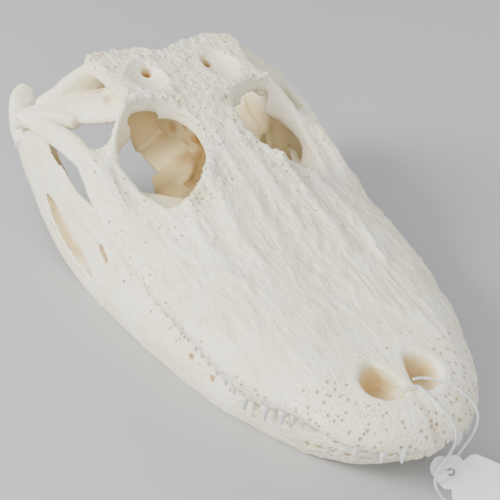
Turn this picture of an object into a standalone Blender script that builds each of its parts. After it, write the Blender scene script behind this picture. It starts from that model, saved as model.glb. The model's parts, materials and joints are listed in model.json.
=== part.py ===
"""Alligator skull with its lower jaw closed, life size, lying on its lower jaw.

All sizes below are millimetres in the maker's frame: X is the distance from the skull's
midline, Y runs back from the tip of the snout, Z is the height above the surface that the
jaw lies on. TO_METRES and SKULL_MIDDLE_Y turn them into the part's frame, whose origin is
under the middle of the skull.
"""
import math

import bmesh
import bpy
import numpy as np

# Driving dimensions
TO_METRES = 0.001
SKULL_MIDDLE_Y = 234.6
SEAM = 0.3
BONE_GRAIN = 1.7
CRANIUM_FACES = 6400
JAW_FACES = 1500
SMOOTHING_ROUNDS = 3

# Snout and forehead, one row per cross section: distance back, midline height, then the
# dorsal plate, the shoulder, the widest point and the tooth margin as (X, Z)
SNOUT_SECTIONS = (
    (1.0, 43, 2, 42.5, 4, 41.5, 5, 40, 3.5, 38),
    (5.0, 50, 7, 49.5, 14, 47, 18.5, 42, 17, 37),
    (13.0, 57, 13, 56, 26, 51.5, 33.5, 43, 32, 36),
    (27.0, 62, 20, 61, 38, 55.5, 48.5, 45, 47, 37),
    (44.0, 65, 24, 64.5, 45, 60, 59.5, 48, 58, 40),
    (64.0, 68, 28, 67.5, 50, 64, 67, 50, 64, 39),
    (82.0, 70, 31, 69.5, 56, 65, 75, 50, 72, 34),
    (100.0, 73, 33, 72, 61, 67, 82, 51, 79, 32),
    (125.0, 77, 36, 76, 66, 69, 88, 53, 84, 35),
    (150.0, 81, 38, 79.5, 70, 72, 93, 57, 88, 40),
    (200.0, 92, 38, 89, 70, 79, 97, 62, 92, 43),
    (240.0, 105, 38, 99, 70, 84, 100, 66, 97, 51),
    (270.0, 115, 40, 107, 70, 91, 103, 72, 100.5, 60),
    (300.0, 124, 42, 114, 73, 98, 103, 77, 101.5, 71),
    (335.0, 131, 44, 124, 75, 107, 100.5, 94, 99, 88),
)
PALATE_RISE = 4.0

# Skull table, the flat plate behind the eyes
TABLE_SLOPE_Y = 398.0
TABLE_OUTLINE = (
    (0, 326), (30, 327), (50, 330), (56, 338), (58, 358), (61, 386), (64, 402), (62, 412), (42, 417),
    (20, 413), (0, 403),
)
TABLE_TOP = 140.0
TABLE_THICK = 15.0
TABLE_FALL = 0.09
TABLE_CURL = 1.5
TABLE_HALF_WIDTH = 60.0
TEMPORAL_DISH = (31.0, 363.0, 14.0, 22.0)
TEMPORAL_DEPTH = 6.5
TEMPORAL_OPENING = (25.0, 378.0, 5.0, 8.0)

# Openings of the face as outlines (X, Y) seen from above
ORBIT_OUTLINE = (
    (47, 248), (57, 245), (65, 253), (71, 270), (75, 292), (76, 310), (71, 326), (54, 336), (34, 334),
    (20, 320), (16, 297), (21, 276), (33, 258),
)
ORBIT_FLOOR = 84.0
CUTTER_TOP = 150.0
NOSTRIL_OUTLINE = (
    (2.5, 33), (8, 26), (18, 26.5), (27, 33), (31, 44), (28, 55), (20, 62), (12, 63), (7, 53), (3.5, 42),
)
NOSTRIL_TOP = 69.0
NOSTRIL_DEPTH = 17.0
NOSTRIL_SHIFT = 3.0

# Lower jaw, one row per section: distance back, outer X and its height, top outer X and Z,
# top inner X, bottom outer X, bottom inner X and bottom Z
JAW_SECTIONS = (
    (10.0, 12, 29, 10, 34, -2, 6, -2, 25),
    (18.0, 25, 29, 23, 34, -2, 15, -2, 20),
    (32.0, 41, 28, 38, 34, 6, 30, 2, 12),
    (52.0, 53, 25, 50, 36, 22, 42, 14, 4),
    (75.0, 63, 21, 58, 33, 36, 54, 30, -1),
    (100.0, 73, 20, 66, 28, 48, 66, 42, -1),
    (130.0, 83, 20, 75, 33, 56, 79, 54, -1),
    (170.0, 92, 22, 82, 39, 64, 89, 66, -1),
    (210.0, 99.5, 24, 87, 43, 70, 97, 72, -1),
    (250.0, 105, 26, 92, 51, 75, 102.5, 78, -1),
    (290.0, 109, 28, 99, 63, 80, 107.5, 84, -0.5),
    (340.0, 112.5, 34, 105, 74, 86, 111.5, 91, 5),
    (375.0, 113.5, 41, 107, 78, 90, 112, 96, 14),
    (405.0, 114, 50, 109, 82, 93, 111, 99, 27),
    (430.0, 113, 60, 109, 83, 93, 111, 99, 42),
    (447.0, 109, 70, 105, 83, 90, 107, 98, 58),
)

# Cuts that part the cranium into its bones
SNOUT_BACK_Y = 250.0
TABLE_CUT_Y = 332.0
CHEEK_BACK_Y = 386.0
FRONTAL_HALF = 34.0
TABLE_HALF = 84.0
PALATE_HALF = 62.0
PALATE_TOP = 84.0
ROOM_HALF = 140.0
ROOM_BACK = 500.0
ROOM_TOP = 200.0

# Teeth of the upper jaw that the closed mouth shows: distance back and free length
UPPER_TEETH = (
    (7, 6.5), (13, 7), (24, 6), (58, 6), (65, 7.5), (73, 10.5), (85, 12), (101, 11), (112, 6),
    (121, 5.5), (130, 5.5), (139, 6), (147, 5.5), (155, 6), (165, 5), (174, 5.5), (184, 5), (196, 4.5),
    (208, 4), (218, 3.5),
)
TOOTH_SUNK = 1.5
TOOTH_INSET = 1.6
TOOTH_LEAN = 0.12
TOOTH_SIDES = 6

# Cotton string through the nostrils: one strand comes down the front of the snout and ends
# on the floor, the other goes round the side and through the tag to the first one
STRING_WIDTH = 1.8
FRONT_STRAND = (
    (-8.9, 35.6, 57.7), (-8.3, 34.9, 61.7), (-5.4, 32.8, 65.25), (-0.5, 31.7, 65.15), (3, 30.8, 64.55),
    (4.4, 27.2, 63.55), (5.4, 23.8, 62.65), (7.3, 18, 60.75), (8.6, 13, 58.55), (11.2, 8, 54.95),
    (12.9, 4, 50), (13.4, 2, 45), (12.6, 0.8, 39), (9.2, 0, 33), (3.4, -1.6, 28.5),
    (-0.3, -2.6, 24), (-0.8, -2.8, 16), (2.2, -3.8, 8), (5.6, -6, 2.6), (9.2, -10.5, 1.1),
    (15, -17, 1), (23, -21, 1), (31, -27, 1), (34, -36, 1),
)
SIDE_STRAND = (
    (3.4, 37.4, 65.35), (8, 37, 65.15), (13, 35.2, 64.55), (18.5, 32.2, 63.55), (23.5, 28.8, 62.75),
    (27.1, 25, 60.75), (30.1, 20.6, 57.95), (34.3, 17, 53.35), (36.8, 13.4, 47.5), (36, 10.2, 42.4),
    (31.6, 7, 36.8), (25.2, 5.4, 30.2), (19.2, 4.2, 24), (15, 2, 18.6), (12.2, -0.4, 17.4),
    (10.5, -2.5, 20.2), (9.2, -4.2, 22.4), (6.4, -5.2, 23.4), (2.6, -4, 23.6),
)

# Paper tag that leans on the string with one corner on the floor: outline from its hole as
# (length, half width), then the hole's place, the turn, the lean and the tilt in its plane
TAG_THICK = 0.6
TAG_OUTLINE = (
    (-13, 0.6), (-12.4, 3.6), (-9.8, 6.4), (-6.8, 7.0), (-4.4, 9.4), (-0.4, 11), (2.6, 10.4),
    (3.8, 9.2), (5, 11), (6.6, 14.4), (9.9, 16.3), (15, 16.5), (44, 16.5), (48, 15.2), (50, 11.5),
    (50, 0.6),
)
TAG_HOLE_PLACE = (10.5, -2.5)
TAG_HOLE_RADIUS = 2.6
TAG_TURN = math.radians(36)
TAG_LEAN = math.radians(44)
TAG_TILT = math.radians(17)
FLOOR_GAP = 0.05

# Colours, roughness and metal share
BONE_LOOK = ((0.80, 0.76, 0.67), 0.62, 0.0)
PAPER_LOOK = ((0.85, 0.84, 0.86), 0.8, 0.0)
COTTON_LOOK = ((0.86, 0.85, 0.83), 0.9, 0.0)

MIDDLE = np.array((0.0, SKULL_MIDDLE_Y, 0.0))
OUT = (1.0, 0.0, 0.0)
UP = (0.0, 0.0, 1.0)


def material(name, look):
    """A plain material from a colour, a roughness and a metal share."""
    made = bpy.data.materials.new(name)
    made.use_nodes = True
    shader = made.node_tree.nodes["Principled BSDF"]
    shader.inputs["Base Color"].default_value = (*look[0], 1.0)
    shader.inputs["Roughness"].default_value = look[1]
    shader.inputs["Metallic"].default_value = look[2]
    return made


def track(rows):
    """A function of the first column that follows the other columns without overshoot."""
    table = np.array(rows, dtype=float)
    place, values = table[:, 0], table[:, 1:]
    step = np.diff(place)[:, None]
    slope = np.diff(values, axis=0) / step
    tangent = np.zeros_like(values)
    tangent[0], tangent[-1] = slope[0], slope[-1]
    both = slope[:-1] * slope[1:]
    mean = 2.0 * both / np.where(np.abs(slope[:-1] + slope[1:]) < 1e-9, 1.0, slope[:-1] + slope[1:])
    tangent[1:-1] = np.where(both > 0, mean, 0.0)

    def at(where):
        where = np.atleast_1d(where).astype(float)
        span = np.clip(np.searchsorted(place, where) - 1, 0, len(place) - 2)
        width = step[span]
        t = ((where - place[span])[:, None] / width)
        h00 = (1 + 2 * t) * (1 - t) ** 2
        h10 = t * (1 - t) ** 2
        h01 = t * t * (3 - 2 * t)
        h11 = t * t * (t - 1)
        return (h00 * values[span] + h10 * width * tangent[span]
                + h01 * values[span + 1] + h11 * width * tangent[span + 1])
    return at


def curve(points, count, closed=False):
    """A smooth curve through the points, as count points spread along it."""
    knots = np.array(points, dtype=float)
    if closed:
        padded = np.vstack((knots[-1], knots, knots[0], knots[1]))
        spans = len(knots)
    else:
        padded = np.vstack((2 * knots[0] - knots[1], knots, 2 * knots[-1] - knots[-2]))
        spans = len(knots) - 1
    reach = np.linspace(0, spans, count, endpoint=not closed)
    span = np.minimum(reach.astype(int), spans - 1)
    t = (reach - span)[:, None]
    a, b, c, d = (padded[span + i] for i in range(4))
    return 0.5 * (2 * b + (c - a) * t + (2 * a - 5 * b + 4 * c - d) * t ** 2
                  + (3 * b - a - 3 * c + d) * t ** 3)


def shell(name, rings):
    """A closed surface through rings of points, capped at both ends."""
    rings = np.asarray(rings, dtype=float)
    count, around = rings.shape[:2]
    verts = np.vstack((rings.reshape(-1, 3), rings[0].mean(axis=0), rings[-1].mean(axis=0)))
    verts = (verts - MIDDLE) * TO_METRES
    index = np.arange(count * around).reshape(count, around)
    after = np.roll(index, -1, axis=1)
    sides = np.stack((index[:-1], after[:-1], after[1:], index[1:]), axis=-1).reshape(-1, 4)
    first, last = count * around, count * around + 1
    faces = [tuple(face) for face in sides.tolist()]
    faces += [(a, first, b) for a, b in zip(index[0].tolist(), after[0].tolist())]
    faces += [(b, last, a) for a, b in zip(index[-1].tolist(), after[-1].tolist())]
    mesh = bpy.data.meshes.new(name)
    mesh.from_pydata(verts.tolist(), [], faces)
    made = bpy.data.objects.new(name, mesh)
    bpy.context.collection.objects.link(made)
    face_outwards(mesh)
    return made


def face_outwards(mesh):
    """Turn a closed mesh right side out, from the sign of its volume."""
    mesh.calc_loop_triangles()
    corners = np.empty(len(mesh.loop_triangles) * 3, dtype=np.int32)
    mesh.loop_triangles.foreach_get("vertices", corners)
    places = np.empty(len(mesh.vertices) * 3)
    mesh.vertices.foreach_get("co", places)
    a, b, c = (places.reshape(-1, 3)[corners.reshape(-1, 3)[:, i]] for i in range(3))
    if np.einsum("ij,ij->", a, np.cross(b, c)) < 0:
        mesh.flip_normals()


def bar(name, path, sizes, side, count=24, around=20, square=2.4):
    """A strut along a smooth path. sizes are (half width, half height) at the path's points
    and side is the direction that the width keeps to, one for all or one for each point."""
    centre = curve(path, count)
    size = np.maximum(curve(sizes, count), 0.3)
    toward = curve(side, count) if np.ndim(side) == 2 else np.tile(side, (count, 1)).astype(float)
    along = np.gradient(centre, axis=0)
    along /= np.linalg.norm(along, axis=1)[:, None]
    wide = toward - np.einsum("ij,ij->i", toward, along)[:, None] * along
    wide /= np.linalg.norm(wide, axis=1)[:, None]
    tall = np.cross(along, wide)
    angle = np.linspace(0, 2 * math.pi, around, endpoint=False)
    cosine = np.sign(np.cos(angle)) * np.abs(np.cos(angle)) ** (2 / square)
    sine = np.sign(np.sin(angle)) * np.abs(np.sin(angle)) ** (2 / square)
    rings = (centre[:, None] + wide[:, None] * (size[:, :1] * cosine)[..., None]
             + tall[:, None] * (size[:, 1:] * sine)[..., None])
    return shell(name, rings)


def plate(name, outline, low, high, count=60):
    """A plate with a rounded edge inside an outline of (X, Y). low and high are functions of
    X and Y that give the heights of its two faces."""
    edge = curve(outline, count, closed=True)
    middle = edge.mean(axis=0)
    rings = []
    for share, inset in ((0.0, 0.93), (0.15, 0.98), (0.5, 1.0), (0.85, 0.98), (1.0, 0.93)):
        ring = middle + (edge - middle) * inset
        x, y = ring.T
        rings.append(np.column_stack((ring, low(x, y) + share * (high(x, y) - low(x, y)))))
    return shell(name, rings)


def mirrored(build, name, *shape, **options):
    """Build a piece on the right side (negative X) and on the left side."""
    both = []
    for tag, sign in (("right", -1.0), ("left", 1.0)):
        both.append(build(name + "_" + tag, *[flip(part, sign) for part in shape], **options))
    return both


def flip(values, sign):
    """Turn the X of points over for the right side. Pairs of sizes stay as they are."""
    table = np.array(values, dtype=float)
    if table.ndim == 2 and table.shape[1] == 2:
        return table
    turned = table.copy()
    turned[..., 0] *= sign
    return turned


def combine(base, pieces, operation="UNION"):
    """Join pieces to the base, or cut them out of it, and remove them. The manifold solver
    is the one that copes with these closed lofts, which cross each other at low angles."""
    helpers = bpy.data.collections.new(base.name + "_" + operation.lower())
    bpy.context.scene.collection.children.link(helpers)
    for piece in pieces:
        for home in list(piece.users_collection):
            home.objects.unlink(piece)
        helpers.objects.link(piece)
    step = base.modifiers.new("combine", "BOOLEAN")
    step.operation = operation
    step.operand_type = "COLLECTION"
    step.collection = helpers
    step.solver = "MANIFOLD"
    apply_modifiers(base)
    for piece in list(helpers.objects):
        bpy.data.objects.remove(piece, do_unlink=True)
    bpy.data.collections.remove(helpers)


def apply_modifiers(made):
    """Replace an object's mesh by the evaluated one."""
    bpy.context.view_layer.update()
    graph = bpy.context.evaluated_depsgraph_get()
    mesh = bpy.data.meshes.new_from_object(made.evaluated_get(graph))
    made.modifiers.clear()
    old = made.data
    made.data = mesh
    bpy.data.meshes.remove(old)


def even_out(made, grain, faces, rounds):
    """Give the joined bone one even skin, soften it, and thin it to a face count."""
    made.data.remesh_voxel_size = grain * TO_METRES
    skin = made.modifiers.new("skin", "REMESH")
    skin.mode = "VOXEL"
    skin.voxel_size = grain * TO_METRES
    soft = made.modifiers.new("soft", "SMOOTH")
    soft.factor = 0.5
    soft.iterations = rounds
    apply_modifiers(made)
    keep_largest(made.data)
    made.data.calc_loop_triangles()
    thin = made.modifiers.new("thin", "DECIMATE")
    thin.ratio = min(1.0, faces / len(made.data.loop_triangles))
    thin.use_collapse_triangulate = True
    apply_modifiers(made)


def keep_largest(mesh):
    """Keep only the largest closed surface of a mesh, by its extent."""
    work = bmesh.new()
    work.from_mesh(mesh)
    work.verts.ensure_lookup_table()
    seen = set()
    groups = []
    for start in work.verts:
        if start in seen:
            continue
        group = [start]
        seen.add(start)
        for vert in group:
            for edge in vert.link_edges:
                other = edge.other_vert(vert)
                if other not in seen:
                    seen.add(other)
                    group.append(other)
        groups.append(group)
    groups.sort(key=len)
    loose = [vert for group in groups[:-1] for vert in group]
    bmesh.ops.delete(work, geom=loose, context="VERTS")
    work.to_mesh(mesh)
    work.free()
    mesh.update()


def block(name, low, high):
    """A box between two corners, in the maker's frame."""
    x = np.array((low[0], high[0], high[0], low[0]), dtype=float)
    z = np.array((low[2], low[2], high[2], high[2]), dtype=float)
    rings = [np.column_stack((x, np.full(4, y), z)) for y in (low[1], high[1])]
    return shell(name, rings)


def cut_piece(name, source, room, look, other_rooms=()):
    """The part of the source bone inside a room and outside the other rooms, as a node.
    Rooms are boxes given by two corners, and half the seam is left on each side of a cut."""
    low, high = np.array(room, dtype=float)
    made = bpy.data.objects.new(name, source.data.copy())
    bpy.context.collection.objects.link(made)
    combine(made, [block(name + "_room", low + 0.5 * SEAM, high - 0.5 * SEAM)], "INTERSECT")
    for other in other_rooms:
        low, high = np.array(other, dtype=float)
        combine(made, [block(name + "_other", low - 0.5 * SEAM, high + 0.5 * SEAM)], "DIFFERENCE")
    keep_largest(made.data)
    made.data.materials.clear()
    made.data.materials.append(look)
    return made


def snout_ring(row):
    """One closed cross section of the snout: roof, side wall, tooth margin and palate."""
    back, top, x1, z1, x2, z2, x3, z3, x4, z4 = row
    roof = curve(((0, top), (x1, z1), (x2, z2), (x3, z3), (x4, z4)), 21)
    under = np.array(((x4 * 0.9, z4 + 0.5 * PALATE_RISE), (x4 * 0.6, z4 + PALATE_RISE),
                      (0, z4 + PALATE_RISE)))
    half = np.vstack((roof, under))
    other = half[1:-1][::-1] * (-1, 1)
    ring = np.vstack((half, other))
    return np.column_stack((ring[:, 0], np.full(len(ring), back), ring[:, 1]))


def snout():
    """The snout and forehead as one solid, closely spaced at its rounded tip."""
    at = track(SNOUT_SECTIONS)
    first, last = SNOUT_SECTIONS[0][0], SNOUT_SECTIONS[-1][0]
    places = first + (last - first) * np.linspace(0, 1, 60) ** 1.6
    return shell("cranium", [snout_ring((back, *row)) for back, row in zip(places, at(places))])


def eye_chamber():
    """The room behind the snout and under the forehead, open below, cut from the solid. Its
    sections are (distance back, thickness left in the roof, thickness left in the wall)."""
    at = track(SNOUT_SECTIONS)
    rings = []
    for back, roof, wall in ((258, 40, 30), (266, 22, 18), (280, 14, 11), (300, 13, 10), (336, 13, 9),
                             (345, 13, 9)):
        row = at(min(back, SNOUT_SECTIONS[-1][0]))[0]
        top, x1, z1, x2, z2, x3, z3, x4, z4 = row
        half = curve(((0, top - roof), (x1 - 3, z1 - roof), (x2 - 6, z2 - roof), (x3 - wall, z3 - 8),
                      (x4 - wall, z4 - 14), (x4 - wall, 20), (0, 20)), 25)
        ring = np.vstack((half, half[1:-1][::-1] * (-1, 1)))
        rings.append(np.column_stack((ring[:, 0], np.full(len(ring), float(back)), ring[:, 1])))
    return shell("eye_chamber", rings)


def well(name, outline, low, high, taper=1.0, shift=0.0, count=48):
    """A cutter that goes down inside an outline of (X, Y). Its foot is smaller by taper and
    lies shifted along X."""
    edge = curve(outline, count, closed=True)
    middle = edge.mean(axis=0)
    foot = middle + (edge - middle) * taper + (shift, 0.0)
    bottom = np.column_stack((foot, np.full(count, float(low))))
    top = np.column_stack((edge, np.full(count, float(high))))
    return shell(name, [bottom, top])


def dish(name, outline, depth, count=48):
    """A cutter that leaves a shallow bowl in the skull table inside an outline of (X, Y)."""
    edge = curve(outline, count, closed=True)
    middle = edge.mean(axis=0)
    rings = []
    for inset, share in ((0.3, 1.0), (0.65, 0.8), (0.88, 0.4), (1.0, -0.1), (1.05, -1.5)):
        ring = middle + (edge - middle) * inset
        rings.append(np.column_stack((ring, table_top(ring[:, 0], ring[:, 1]) - share * depth)))
    return shell(name, rings)


def oval(centre_x, centre_y, half_x, half_y, count=12):
    """An oval outline of (X, Y)."""
    angle = np.linspace(0, 2 * math.pi, count, endpoint=False)
    return np.column_stack((centre_x + half_x * np.cos(angle), centre_y + half_y * np.sin(angle)))


def sided(outline, sign):
    """An outline of (X, Y) on one side of the midline."""
    return np.array(outline, dtype=float) * (sign, 1.0)


def table_top(x, y):
    """The height of the skull table: level behind, falling forwards, its sides turned up."""
    fall = TABLE_FALL * np.maximum(TABLE_SLOPE_Y - y, 0.0)
    return TABLE_TOP - fall + TABLE_CURL * (np.abs(x) / TABLE_HALF_WIDTH) ** 2


def table_bottom(x, y):
    """The height of the skull table's underside."""
    return table_top(x, y) - TABLE_THICK


def table_plate():
    """The skull table, one flat plate across the midline."""
    half = np.array(TABLE_OUTLINE, dtype=float)
    ring = np.vstack((half, half[1:-1][::-1] * (-1, 1)))
    return plate("table", ring, table_bottom, table_top, 80)


def cranium_struts():
    """The arches, bars and plates behind the snout, as closed pieces to be joined."""
    pieces = []
    pieces += mirrored(bar, "jugal",
                       ((80, 236, 64), (89, 275, 78), (91.5, 305, 88), (95, 335, 95), (98, 360, 96),
                        (104, 392, 94), (109, 415, 92)),
                       ((8, 6), (11, 7), (11, 7), (10.5, 5.5), (9, 5.5), (8, 5.5), (6.5, 6.5)),
                       ((0.3, 0, 1), (0, 0, 1), (-0.4, 0, 1), (-0.5, 0, 1), (-0.5, 0, 1), (-0.5, 0, 1),
                        (0, 0, 1)), count=36)
    pieces += mirrored(bar, "orbit_bar",
                       ((82, 312, 94), (76, 321, 103), (69, 328, 114), (62, 333, 124), (54, 338, 131)),
                       ((9, 7), (6, 6), (5.5, 6), (6, 7), (9, 8)), OUT)
    pieces += mirrored(bar, "quadrate_shaft",
                       ((50, 374, 116), (68, 386, 111), (87, 401, 102), (103, 415, 94), (113, 424, 89)),
                       ((16, 9), (15, 8), (12, 7.5), (9, 8), (6.5, 8)), (-0.55, 0.8, 0.1), count=30)
    pieces += mirrored(bar, "ear_plate",
                       ((56, 344, 119), (64, 362, 114), (75, 381, 109), (88, 399, 103)),
                       ((7, 4), (10, 4.5), (12, 4.5), (10, 5)), (0.6, -0.4, -0.7), count=24)
    pieces += mirrored(bar, "hinge_web", ((84, 376, 102), (90, 386, 101), (98, 399, 98), (106, 412, 94)),
                       ((5, 5), (7, 5), (8, 5.5), (7, 6)), UP, count=20)
    pieces += mirrored(bar, "quadrate_knuckle", ((98, 428, 88), (108, 428, 86), (119, 426, 86)),
                       ((6.5, 6), (6, 6), (6, 6)), UP, count=12)
    pieces += mirrored(bar, "ear_lobe",
                       ((44, 404, 125), (60, 407, 125), (72, 409, 120), (83, 411, 113)),
                       ((10, 8), (9.5, 8), (8.5, 8), (7, 7)), UP, count=20)
    pieces += mirrored(bar, "back_wing",
                       ((0, 402, 114), (30, 405, 112), (60, 408, 109), (82, 412, 104), (98, 419, 97)),
                       ((24, 8), (22, 8), (19, 8), (14, 8), (9, 7)), UP, count=24)
    pieces += mirrored(bar, "wing_plate",
                       ((6, 344, 82), (17, 344, 76), (27, 344, 70), (33, 344, 67)),
                       ((20, 8), (34, 5), (36, 3.5), (30, 3.5)), (0.0, 1.0, 0.0), count=20)
    pieces += mirrored(bar, "side_wall", ((40, 376, 114), (31, 377, 92), (24, 377, 70)),
                       ((14, 4), (12.5, 4), (12, 4)), OUT, count=16)
    pieces += mirrored(bar, "cross_strut",
                       ((30, 312, 66), (46, 294, 66), (64, 274, 67), (84, 257, 67)),
                       ((14, 4), (10, 4), (8, 5), (11, 6)), (0.6, 0.8, 0.0), count=20)
    pieces += mirrored(bar, "palate_shelf",
                       ((30, 240, 60), (34, 270, 60), (32, 300, 62), (26, 330, 68)),
                       ((30, 5), (22, 4), (18, 4), (16, 4)), OUT, count=20)
    pieces += mirrored(bar, "pillar", ((26, 262, 108), (28, 262, 88), (26, 264, 62)),
                       ((7, 9), (6, 6), (9, 9)), OUT, count=14)
    pieces.append(bar("throat_tube", ((0, 236, 62), (0, 280, 63), (0, 320, 66), (0, 354, 73)),
                      ((16, 6), (16, 6), (17, 7), (18, 9)), OUT, count=20))
    pieces.append(bar("brain_case",
                      ((0, 322, 104), (0, 345, 103), (0, 370, 106), (0, 402, 112)),
                      ((10, 22), (15, 26), (21, 26), (26, 22)), OUT, count=24))
    pieces.append(bar("skull_keel", ((0, 322, 84), (0, 350, 76), (0, 385, 80), (0, 410, 92)),
                      ((8, 14), (12, 14), (15, 14), (13, 12)), OUT, count=20))
    pieces.append(bar("neck_knob", ((0, 400, 98), (0, 412, 96), (0, 420, 94)),
                      ((12, 11), (11, 10), (7, 6.5)), OUT, count=12))
    pieces.append(table_plate())
    return pieces


def cranium_cutters():
    """The openings of the cranium, as closed cutters."""
    cutters = []
    for sign in (-1.0, 1.0):
        orbit, nostril = sided(ORBIT_OUTLINE, sign), sided(NOSTRIL_OUTLINE, sign)
        bowl, hole = sided(oval(*TEMPORAL_DISH), sign), sided(oval(*TEMPORAL_OPENING), sign)
        cutters.append(well("orbit_room", orbit, ORBIT_FLOOR, CUTTER_TOP, taper=0.97))
        cutters.append(dish("temporal_dish", bowl, TEMPORAL_DEPTH))
        cutters.append(well("temporal_room", hole, TABLE_TOP - TABLE_THICK, CUTTER_TOP, taper=0.6))
        cutters.append(well("nostril_room", nostril, NOSTRIL_TOP - NOSTRIL_DEPTH, NOSTRIL_TOP, taper=0.6,
                            shift=-NOSTRIL_SHIFT * sign))
    return cutters


def tooth(name, root, length, width, lean):
    """A pointed tooth whose root is sunk in the jaw. lean tips its point in X and Y."""
    grown = []
    for share, size in ((-0.7, 0.9), (0.1, 1.0), (0.6, 0.7), (1.0, 0.15)):
        angle = np.linspace(0, 2 * math.pi, TOOTH_SIDES, endpoint=False)
        x = root[0] + lean[0] * share * length + 0.5 * width * size * np.cos(angle)
        y = root[1] + lean[1] * share * length + 0.5 * width * size * np.sin(angle)
        grown.append(np.column_stack((x, y, np.full(TOOTH_SIDES, root[2] - share * length))))
    return shell(name, grown)


def upper_teeth():
    """The upper teeth that the closed mouth shows, set along the tooth margin."""
    at = track(SNOUT_SECTIONS)
    grown = []
    for place, length in UPPER_TEETH:
        margin_x, margin_z = at(place)[0][7:9]
        for sign in (-1.0, 1.0):
            root = (sign * (margin_x - TOOTH_INSET), place, margin_z + TOOTH_SUNK)
            width = 2.8 + 0.2 * length
            grown.append(tooth("tooth", root, length + TOOTH_SUNK, width, (TOOTH_LEAN * sign, 0.0)))
    return grown


def jaw_ring(row, sign):
    """One closed cross section of a lower jaw branch."""
    back, x_out, z_out, x_top, z_top, x_in, x_low, x_heel, z_low = row
    points = ((x_top, z_top), (x_out, z_out), (x_low, z_low + 2.0), (0.5 * (x_low + x_heel), z_low),
              (x_heel, z_low + 4.0), (x_in, 0.5 * (z_low + z_top)),
              (x_in + 0.3 * (x_top - x_in), z_top - 1.0))
    ring = curve(points, 28, closed=True)
    return np.column_stack((sign * ring[:, 0], np.full(len(ring), back), ring[:, 1]))


def jaw_branch(sign):
    """One branch of the lower jaw with its rear blade, its muscle room and its window."""
    at = track(JAW_SECTIONS)
    first, last = JAW_SECTIONS[0][0], JAW_SECTIONS[-1][0]
    places = first + (last - first) * np.linspace(0, 1, 60) ** 1.25
    branch = shell("branch", [jaw_ring((back, *row), sign) for back, row in zip(places, at(places))])
    across = flip(((1, 0, 0),) * 5, sign)
    blade_path = flip(((106, 430, 64), (104, 446, 76), (99, 457, 90), (94, 465, 98)), sign)
    blade = bar("blade", blade_path, ((10, 13), (11, 11), (11, 7), (6, 3.5)), across[:4], count=18)
    shelf_path = flip(((92, 392, 46), (92, 410, 48), (92, 428, 54), (95, 446, 68)), sign)
    shelf = bar("hinge_shelf", shelf_path, ((6, 9), (7, 9), (8, 10), (8, 8)), across[:4], count=18)
    combine(branch, [blade, shelf])
    room_path = flip(((92, 306, 66), (92, 322, 72), (92, 345, 76), (93, 375, 82), (95, 392, 86)), sign)
    room = bar("jaw_room", room_path, ((4, 8), (9, 28), (11, 42), (11, 38), (6, 12)), across,
               count=24, square=3.0)
    window_path = flip(((106, 286, 20), (107, 305, 26), (109, 330, 33), (111, 355, 41), (112, 372, 47)),
                       sign)
    window = bar("jaw_window", window_path, ((11, 1.5), (11, 5.5), (11, 8), (11, 7), (11, 2)), across,
                 count=20)
    combine(branch, [room], "DIFFERENCE")
    combine(branch, [window], "DIFFERENCE")
    return branch


def build_jaw(bone):
    """Both branches of the lower jaw, flat where they meet and where they lie."""
    for tag, sign in (("right", -1.0), ("left", 1.0)):
        branch = jaw_branch(sign)
        even_out(branch, BONE_GRAIN, JAW_FACES, SMOOTHING_ROUNDS)
        socket = bar("socket", flip(((96, 428, 88), (108, 428, 86), (122, 426, 86)), sign),
                     ((7.4, 7.0), (6.9, 7.0), (6.9, 7.0)), UP, count=12)
        clearance = bar("clearance", flip(((90, 396, 101), (104, 413, 94), (118, 432, 89)), sign),
                        ((10.5, 10), (11, 11), (10, 9.5)), UP, count=16)
        combine(branch, [socket], "DIFFERENCE")
        combine(branch, [clearance], "DIFFERENCE")
        near, far = sorted((0.5 * SEAM * sign, ROOM_HALF * sign))
        room = ((near - 0.5 * SEAM, 0, -0.5 * SEAM), (far + 0.5 * SEAM, ROOM_BACK, ROOM_TOP))
        cut_piece("mandible_" + tag, branch, room, bone)
        bpy.data.objects.remove(branch, do_unlink=True)


def build_cranium(bone):
    """Join, cut and thin the cranium, then part it into its named bones."""
    whole = snout()
    combine(whole, [eye_chamber()], "DIFFERENCE")
    combine(whole, cranium_struts())
    combine(whole, cranium_cutters(), "DIFFERENCE")
    even_out(whole, BONE_GRAIN, CRANIUM_FACES, SMOOTHING_ROUNDS)
    rostrum = ((-ROOM_HALF, -10, 0), (ROOM_HALF, SNOUT_BACK_Y, ROOM_TOP))
    palate = ((-PALATE_HALF, SNOUT_BACK_Y, 0), (PALATE_HALF, ROOM_BACK, PALATE_TOP))
    frontal = ((-FRONTAL_HALF, SNOUT_BACK_Y, PALATE_TOP), (FRONTAL_HALF, TABLE_CUT_Y, ROOM_TOP))
    table = ((-TABLE_HALF, TABLE_CUT_Y, PALATE_TOP), (TABLE_HALF, ROOM_BACK, ROOM_TOP))
    head = cut_piece("rostrum", whole, rostrum, bone)
    combine(head, upper_teeth())
    keep_largest(head.data)
    cut_piece("frontal", whole, frontal, bone)
    cut_piece("palate", whole, palate, bone)
    cut_piece("skull_table", whole, table, bone)
    for tag, sign in (("right", -1.0), ("left", 1.0)):
        x_near, x_far = sorted((FRONTAL_HALF * sign, ROOM_HALF * sign))
        cheek = ((x_near, SNOUT_BACK_Y, 0), (x_far, CHEEK_BACK_Y, ROOM_TOP))
        cut_piece("cheek_" + tag, whole, cheek, bone, (palate, table))
        hinge = ((x_near, CHEEK_BACK_Y, 0), (x_far, ROOM_BACK, ROOM_TOP))
        cut_piece("quadrate_" + tag, whole, hinge, bone, (palate, table))
    bpy.data.objects.remove(whole, do_unlink=True)


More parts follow.
